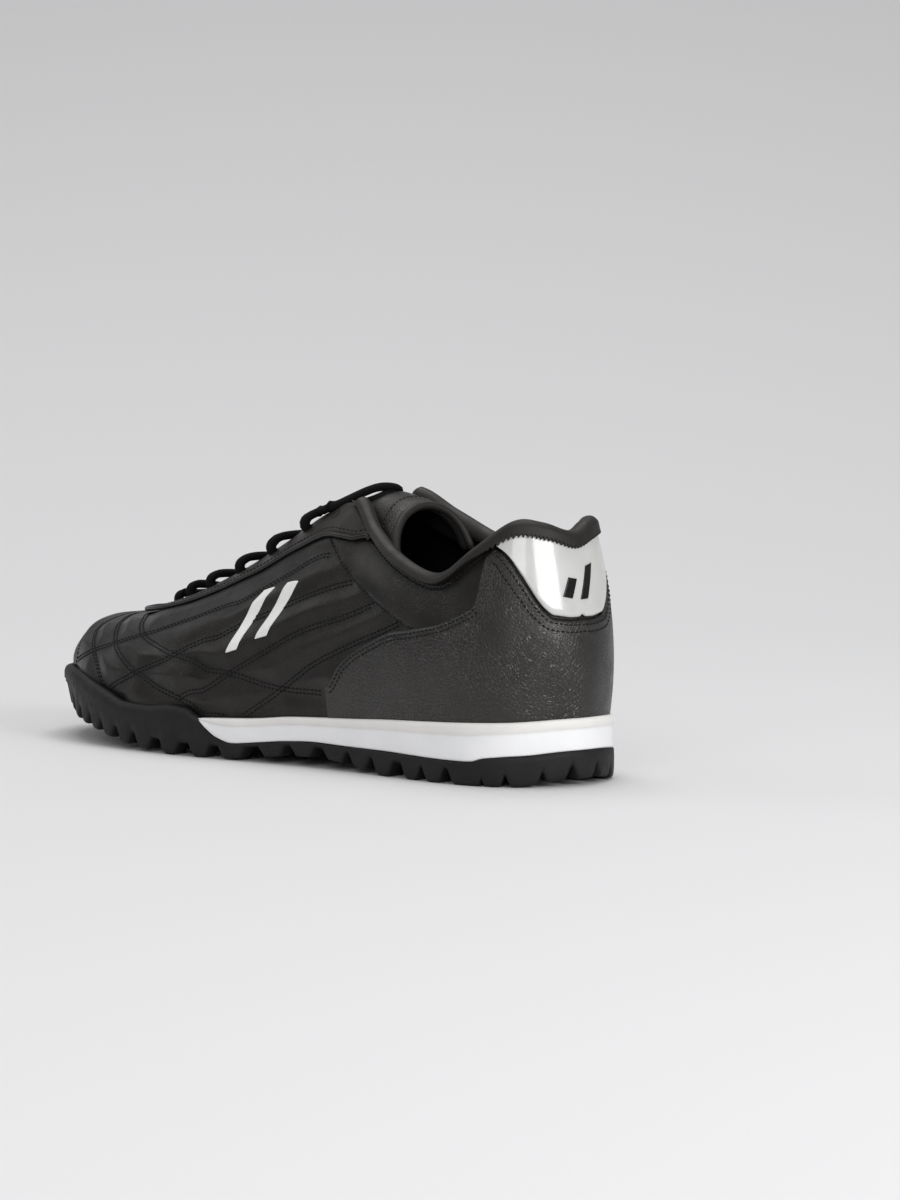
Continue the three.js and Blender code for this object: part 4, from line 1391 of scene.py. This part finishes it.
# %% [markdown]
# ## Inner studs
#
# Round studs cover the sole inside the edge studs. They are turned shapes, so each is bmesh's own
# cone with a bevelled rim, and a loop over the length and the width sets them out.

# %% The studs
INNER_STUD_INSET = 19 * MM
INNER_STUD_PITCH = 25 * MM
INNER_STUD_RADII = (4.8 * MM, 3.2 * MM)
INNER_STUD_SIDES = 12
INNER_STUD_ENDS = (0.09 * LENGTH, 0.93 * LENGTH)
STUD_BEVEL = 0.7 * MM


def add_inner_studs(work):
    first, last = INNER_STUD_ENDS
    walk = np.linspace(0, TOE, 800)
    at = section_at(walk)[:, 0]
    for x in np.linspace(first, last, int((last - first) // INNER_STUD_PITCH) + 1):
        s = float(np.interp(x, at, walk))
        outer = outline(s)[0][1] - INNER_STUD_INSET
        inner = outline(-s)[0][1] + INNER_STUD_INSET
        across = max(1, int((outer - inner) // INNER_STUD_PITCH))
        for y in np.linspace(inner, outer, across + 1):
            low, high = float(sole_height("tip", x)), float(plate_height(x)) + 1 * MM
            place = Matrix.Translation((x, y, (low + high) / 2))
            bmesh.ops.create_cone(
                work,
                cap_ends=True,
                segments=INNER_STUD_SIDES,
                radius1=INNER_STUD_RADII[0],
                radius2=INNER_STUD_RADII[1],
                depth=high - low,
                matrix=place @ Matrix.Rotation(math.pi, 4, "X"),
            )


def make_studs():
    work = bmesh.new()
    add_inner_studs(work)
    rims = [edge for edge in work.edges if edge.calc_length() < 3 * MM]
    bmesh.ops.bevel(
        work, geom=rims, offset=STUD_BEVEL, segments=2, profile=0.5, affect="EDGES", material=-1
    )
    bmesh.ops.translate(work, vec=Vector(SHIFT), verts=work.verts)
    bmesh.ops.recalc_face_normals(work, faces=work.faces)
    mesh = bpy.data.meshes.new("studs")
    work.to_mesh(mesh)
    work.free()
    mesh.shade_smooth()
    return new_object("studs", mesh)


studs = finished(make_studs(), "outsole_rubber", rubber)
print("inner studs:", len(studs.data.polygons), "faces")

# %% [markdown]
# ## Midsole
#
# The midsole is a white foam wedge from the heel to the ball, with a narrow step under its top lip.
# It shares its lines with the outsole, so the gap between the two is the same all round.

# %% The wedge
MIDSOLE_PROFILE = [
    # how far in from the outline, share of the way up, material: 0 foam, 1 lip
    (SOLE_LIP + 2 * MM, 0, 0),
    (0.6 * MM, 0, 0),
    (0.45 * MM, 0.05, 0),
    (0.55 * MM, 0.35, 0),
    (0.65 * MM, 0.58, 0),
    (0.62 * MM, 0.655, 1),
    (0.20 * MM, 0.70, 1),
    (0.02 * MM, 0.78, 1),
    (0.0, 0.90, 1),
    (0.2 * MM, 0.96, 1),
    (0.8 * MM, 1, 1),
    (SOLE_LIP + 0.6 * MM, 1, 0),
]
WEDGE_SHORT = 0.03


def make_midsole():
    walk = np.linspace(0, TOE, 400)
    tip = np.interp(WEDGE_TIP * LENGTH, section_at(walk)[:, 0], walk) - WEDGE_SHORT
    us = np.linspace(-tip, tip, 520)
    placed = []
    for inset, share, _ in MIDSOLE_PROFILE:
        place, _ = outline(us, np.full(len(us), inset))
        low, rim = wedge_low(place[:, 0]), rim_height(place[:, 0])
        height = rim if share == 1 else low + (rim - low) * share
        placed.append(np.concatenate([place, height[:, None]], 1))
    zones = [zone for _, _, zone in MIDSOLE_PROFILE] + [0]
    return surface("midsole_foam", np.stack(placed, 1), (False, True), zones)


midsole = finished(make_midsole(), "midsole_foam", [foam, foam_lip], "midsole")
print("midsole:", len(midsole.data.polygons), "faces")

# %% [markdown]
# ## Insole
#
# A thin footbed lies inside and shows only as the dark floor of the opening. It is a plain ring of
# profiles like the outsole, held off the lining by the named gap.

# %% The footbed
INSOLE_THICKNESS = 3 * MM


def make_insole():
    us = np.arange(0, ROUND, 0.1)
    bottom = lambda x: floor_height(x) + GAP
    top = lambda x: bottom(x) + INSOLE_THICKNESS
    inset = SOLE_LIP + WALL + 2 * GAP
    return sole_ring("insole_cloth", us, [
        (None, bottom),
        (inset, bottom),
        (inset, lambda x: top(x) - 0.5 * MM),
        (inset + 0.6 * MM, top),
        (None, top),
    ])


insole = finished(make_insole(), "lining", lining_cloth, "insole")
print("insole:", len(insole.data.polygons), "faces")

# %% [markdown]
# ## Stitches
#
# Each stitch is a small oval of thread, and a row follows a path at an even pitch. Copies by a
# modifier or by Geometry Nodes would do the same; numpy turns one small sphere into a whole row at
# once and leaves a single mesh. A stitch has twenty faces, because there are thousands.

# %% One stitch
STITCH = 1.9 * MM
STITCH_GAP = 0.3 * MM
STITCH_WIDTH = 0.72 * MM
STITCH_HEIGHT = 0.42 * MM
ROW_PROBE = 0.01


def stitch_template():
    work = bmesh.new()
    bmesh.ops.create_icosphere(work, subdivisions=1, radius=1)
    mesh = bpy.data.meshes.new("stitch")
    work.to_mesh(mesh)
    work.free()
    corners = np.array([vert.co for vert in mesh.vertices])
    faces = np.array([list(face.vertices) for face in mesh.polygons])
    bpy.data.meshes.remove(mesh)
    return corners, faces


print("faces of a stitch:", len(stitch_template()[1]))


# %% A row beside a line, and the stitches on it
def row_on(u, v, lift, aside=0.0):
    """Points and normals of a row of stitches along u, v, moved aside over the skin."""
    point, normal, up, along = skin_frame(u, v)
    if aside:
        side = np.cross(normal, unit(np.gradient(point, axis=0)))
        a, b, c = (side * along).sum(1), (side * up).sum(1), (along * up).sum(1)
        per_u = np.linalg.norm(skin_point(u + ROW_PROBE, v) - point, axis=1) / ROW_PROBE
        per_v = np.linalg.norm(skin_point(u, v - ROW_PROBE) - point, axis=1) / ROW_PROBE
        u = u + aside * (a - c * b) / (1 - c**2) / per_u
        v = np.clip(v + aside * (b - c * a) / (1 - c**2) / per_v, 0, 1)
        point, normal, _, _ = skin_frame(u, v)
    return point + normal * np.reshape(lift, (-1, 1)), normal


def stitch_frames(rows, pitch, length):
    """Middle and axes of every stitch in the rows."""
    places, axes = [], []
    for point, normal in rows:
        walked = np.concatenate([[0], np.cumsum(np.linalg.norm(np.diff(point, axis=0), axis=1))])
        count = max(1, int(walked[-1] // pitch))
        at = (np.arange(count) + 0.5) * pitch
        ends = [
            np.stack([np.interp(at + d, walked, point[:, k]) for k in range(3)], 1)
            for d in (-length / 2, length / 2)
        ]
        up = unit(np.stack([np.interp(at, walked, normal[:, k]) for k in range(3)], 1))
        ahead = unit(ends[1] - ends[0])
        across = unit(np.cross(up, ahead))
        places.append((ends[0] + ends[1]) / 2)
        half = [ahead * length / 2, across * STITCH_WIDTH / 2, up * STITCH_HEIGHT / 2]
        axes.append(np.stack(half, 1))
    return np.concatenate(places), np.concatenate(axes)


def make_stitches(name, rows, pitch=STITCH, length=STITCH - STITCH_GAP):
    corners, faces = stitch_template()
    places, axes = stitch_frames(rows, pitch, length)
    points = places[:, None] + np.einsum("ck,nkd->ncd", corners, axes)
    first = np.arange(len(places))[:, None, None] * len(corners)
    mesh = bpy.data.meshes.new(name)
    mesh.from_pydata((points + SHIFT).reshape(-1, 3), [], (faces[None] + first).reshape(-1, 3))
    mesh.shade_smooth()
    print(name, len(places), "stitches")
    return finished(new_object(name, mesh), "upper_leather", thread)


# %% Rows on the quilting
ROW_GAP = 1.5 * MM
QUILT_LIFT = 0.12 * MM
LIFT_STEP = 20


def quilt_rows():
    """A double row on each line; the relief is read at every LIFT_STEP-th point of it."""
    rows = []
    for path in quilt_paths:
        known = np.arange(0, len(path), LIFT_STEP)
        lift = relief(path[known, 0], path[known, 1])
        lift = np.interp(np.arange(len(path)), known, lift) + QUILT_LIFT
        rows += [row_on(path[:, 0], path[:, 1], lift, ROW_GAP / 2 * way) for way in (1, -1)]
    return rows


make_stitches("quilting_stitches", quilt_rows())

# %% Rows on the counter, the ankle seam and under the collar
ON_COUNTER = SEAT + OVERLAY + 0.08 * MM
COUNTER_ROWS = (1.5 * MM, 3.1 * MM)
TAB_ROWS = (1.9 * MM, 4.4 * MM)
SEAM_LIFT = 0.25 * MM
SEAM_ASIDE = 0.6 * MM
COLLAR_BELOW = 1.2 * MM
FRONT_FROM = 2.92
TAB_TO = 2.35
COLLAR_ENDS = (2.95, 6.85)


def edge_rows():
    """Rows along the counter's edge, in front and round the heel tab, and the ankle seam."""
    rows = []
    front = np.linspace(FRONT_FROM, COUNTER_FRONT - 0.02, 300)
    seam = spline(ANKLE_SEAM, 200)
    lift = relief(seam[:, 0], seam[:, 1]) + SEAM_LIFT
    for way in (1, -1):
        for inward in COUNTER_ROWS:
            rows.append(row_on(way * front, counter_edge(front), ON_COUNTER, way * inward))
        rows.append(row_on(way * seam[:, 0], seam[:, 1], lift, SEAM_ASIDE * way))
    heel = np.linspace(-TAB_TO, TAB_TO, 400)
    for inward in TAB_ROWS:
        rows.append(row_on(heel, counter_edge(np.abs(heel)), ON_COUNTER, inward))
    return rows


def collar_rows():
    us = np.linspace(*COLLAR_ENDS, 300)
    v = below_top(us, ROLL_SKIRT + COLLAR_BELOW)
    return [row_on(way * us, v, relief(us, v) + SEAM_LIFT) for way in (1, -1)]


make_stitches("edge_stitches", edge_rows())
make_stitches("collar_stitches", collar_rows(), pitch=1.9 * MM, length=1.3 * MM)

# %% Rows on the facing and the tongue
FACING_ROW = 2.3 * MM
TONGUE_ROW = 0.42


def facing_rows():
    us = np.linspace(EYESTAY_BACK + 0.1, ROUND - EYESTAY_BACK - 0.1, 500)
    return [row_on(us, eyestay_lower(us, -FACING_ROW), SEAT + OVERLAY + 0.05 * MM)]


def tongue_rows():
    path = tongue_section(TONGUE_BACK + TONGUE_ROW, -0.1 * MM, 80)[6:-6]
    beside = tongue_section(TONGUE_BACK + TONGUE_ROW, -1.1 * MM, 80)[6:-6]
    return [(path, unit(beside - path))]


make_stitches("facing_stitches", facing_rows(), pitch=2.1 * MM, length=1.5 * MM)
make_stitches("tongue_stitches", tongue_rows())

# %% [markdown]
# ## Camera
#
# The photograph was taken from low down behind the outer side of the heel, from far off with a long
# lens, which keeps the far end of the shoe from shrinking. The camera could be set by eye against a
# background image; its place, turn and lens are kept here as numbers instead.

# %% The camera
CAMERA_AT = Vector((-1.155, 0.977, 0.168))
CAMERA_TURN = math.radians(48)
CAMERA_PITCH = math.radians(4.19)
LENS = 121.8
SENSOR_WIDTH = 36
CLIP_START = 0.01


def add_camera():
    data = bpy.data.cameras.new("camera")
    data.lens = LENS
    data.sensor_width = SENSOR_WIDTH
    data.clip_start = CLIP_START
    camera = bpy.data.objects.new("camera", data)
    bpy.context.scene.collection.objects.link(camera)
    ahead = Vector((math.sin(CAMERA_TURN), -math.cos(CAMERA_TURN), -math.tan(CAMERA_PITCH)))
    camera.location = CAMERA_AT
    camera.rotation_euler = ahead.to_track_quat("-Z", "Y").to_euler()
    bpy.context.scene.camera = camera


add_camera()
print("camera:", round(CAMERA_AT.length, 2), "m away, lens", LENS, "mm")

# %% [markdown]
# ## Backdrop
#
# A studio sets the shoe on a roll of paper that sweeps up behind it, so no horizon shows. It is one
# bent sheet; a floor and a wall would meet in a line.

# %% The sweep of paper
PAPER = "#DFDFE0"
PAPER_ROUGHNESS = 0.85
FLOOR_BACK = -4.0
FLAT_TO = 0.5
SWEEP_RADIUS = 3.2
WALL_ABOVE = 1.5
HALF_WIDTH = 5.0


def add_backdrop():
    """A floor that sweeps up into a wall behind the shoe, as seen from the camera."""
    bend = np.linspace(0, np.pi / 2, 48)[1:]
    profile = [(FLOOR_BACK, 0.0), (FLAT_TO, 0.0)]
    profile += [
        (FLAT_TO + SWEEP_RADIUS * math.sin(a), SWEEP_RADIUS * (1 - math.cos(a))) for a in bend
    ]
    profile += [(FLAT_TO + SWEEP_RADIUS, SWEEP_RADIUS + WALL_ABOVE)]
    profile = np.array(profile)
    ahead = np.array([math.sin(CAMERA_TURN), -math.cos(CAMERA_TURN), 0])
    across = np.array([ahead[1], -ahead[0], 0])
    rows = [
        ahead * profile[:, :1] + across * side + np.array([0, 0, 1]) * profile[:, 1:]
        for side in (-HALF_WIDTH, HALF_WIDTH)
    ]
    backdrop = surface("backdrop", np.stack(rows) - SHIFT)
    paint, _, _ = material("studio paper", PAPER, PAPER_ROUGHNESS)
    backdrop.data.materials.append(paint)


add_backdrop()
print("backdrop: flat for", FLAT_TO, "m behind the shoe")

# %% [markdown]
# ## Light
#
# Black leather shows by what it reflects, so the lamps are large and soft: one above, one beside
# the camera, and smaller ones before the toe and behind the heel that draw their edges. A pale
# world fills the shadows, and the standard view keeps the paper as pale as its colour says.

# %% Lamps and world
LAMPS = [
    # name, place, size, watts
    ("above", (0.4, -0.4, 2.4), (1.8, 1.8), 34),
    ("front", (-1.3, 1.5, 1.1), (1.4, 1.0), 10.5),
    ("toe", (1.5, 0.7, 1.2), (0.9, 0.9), 3),
    ("heel", (-1.5, 0.0, 0.6), (0.7, 0.7), 10),
]
LAMP_TARGET = Vector((0, 0, 0.04))
WORLD_COLOUR = "#F4F4F5"
WORLD_STRENGTH = 0.32


def add_area(name, place, size, power):
    data = bpy.data.lights.new(name, "AREA")
    data.shape = "RECTANGLE"
    data.size, data.size_y = size
    data.energy = power
    light = bpy.data.objects.new(name, data)
    bpy.context.scene.collection.objects.link(light)
    light.location = place
    light.rotation_euler = (LAMP_TARGET - Vector(place)).to_track_quat("-Z", "Y").to_euler()


for lamp in LAMPS:
    add_area(*lamp)
world = bpy.data.worlds.new("studio")
bpy.context.scene.world = world
world.use_nodes = True
background = world.node_tree.nodes["Background"]
background.inputs["Color"].default_value = linear(WORLD_COLOUR)
background.inputs["Strength"].default_value = WORLD_STRENGTH
bpy.context.scene.view_settings.view_transform = "Standard"
print("lamps:", [lamp[0] for lamp in LAMPS])
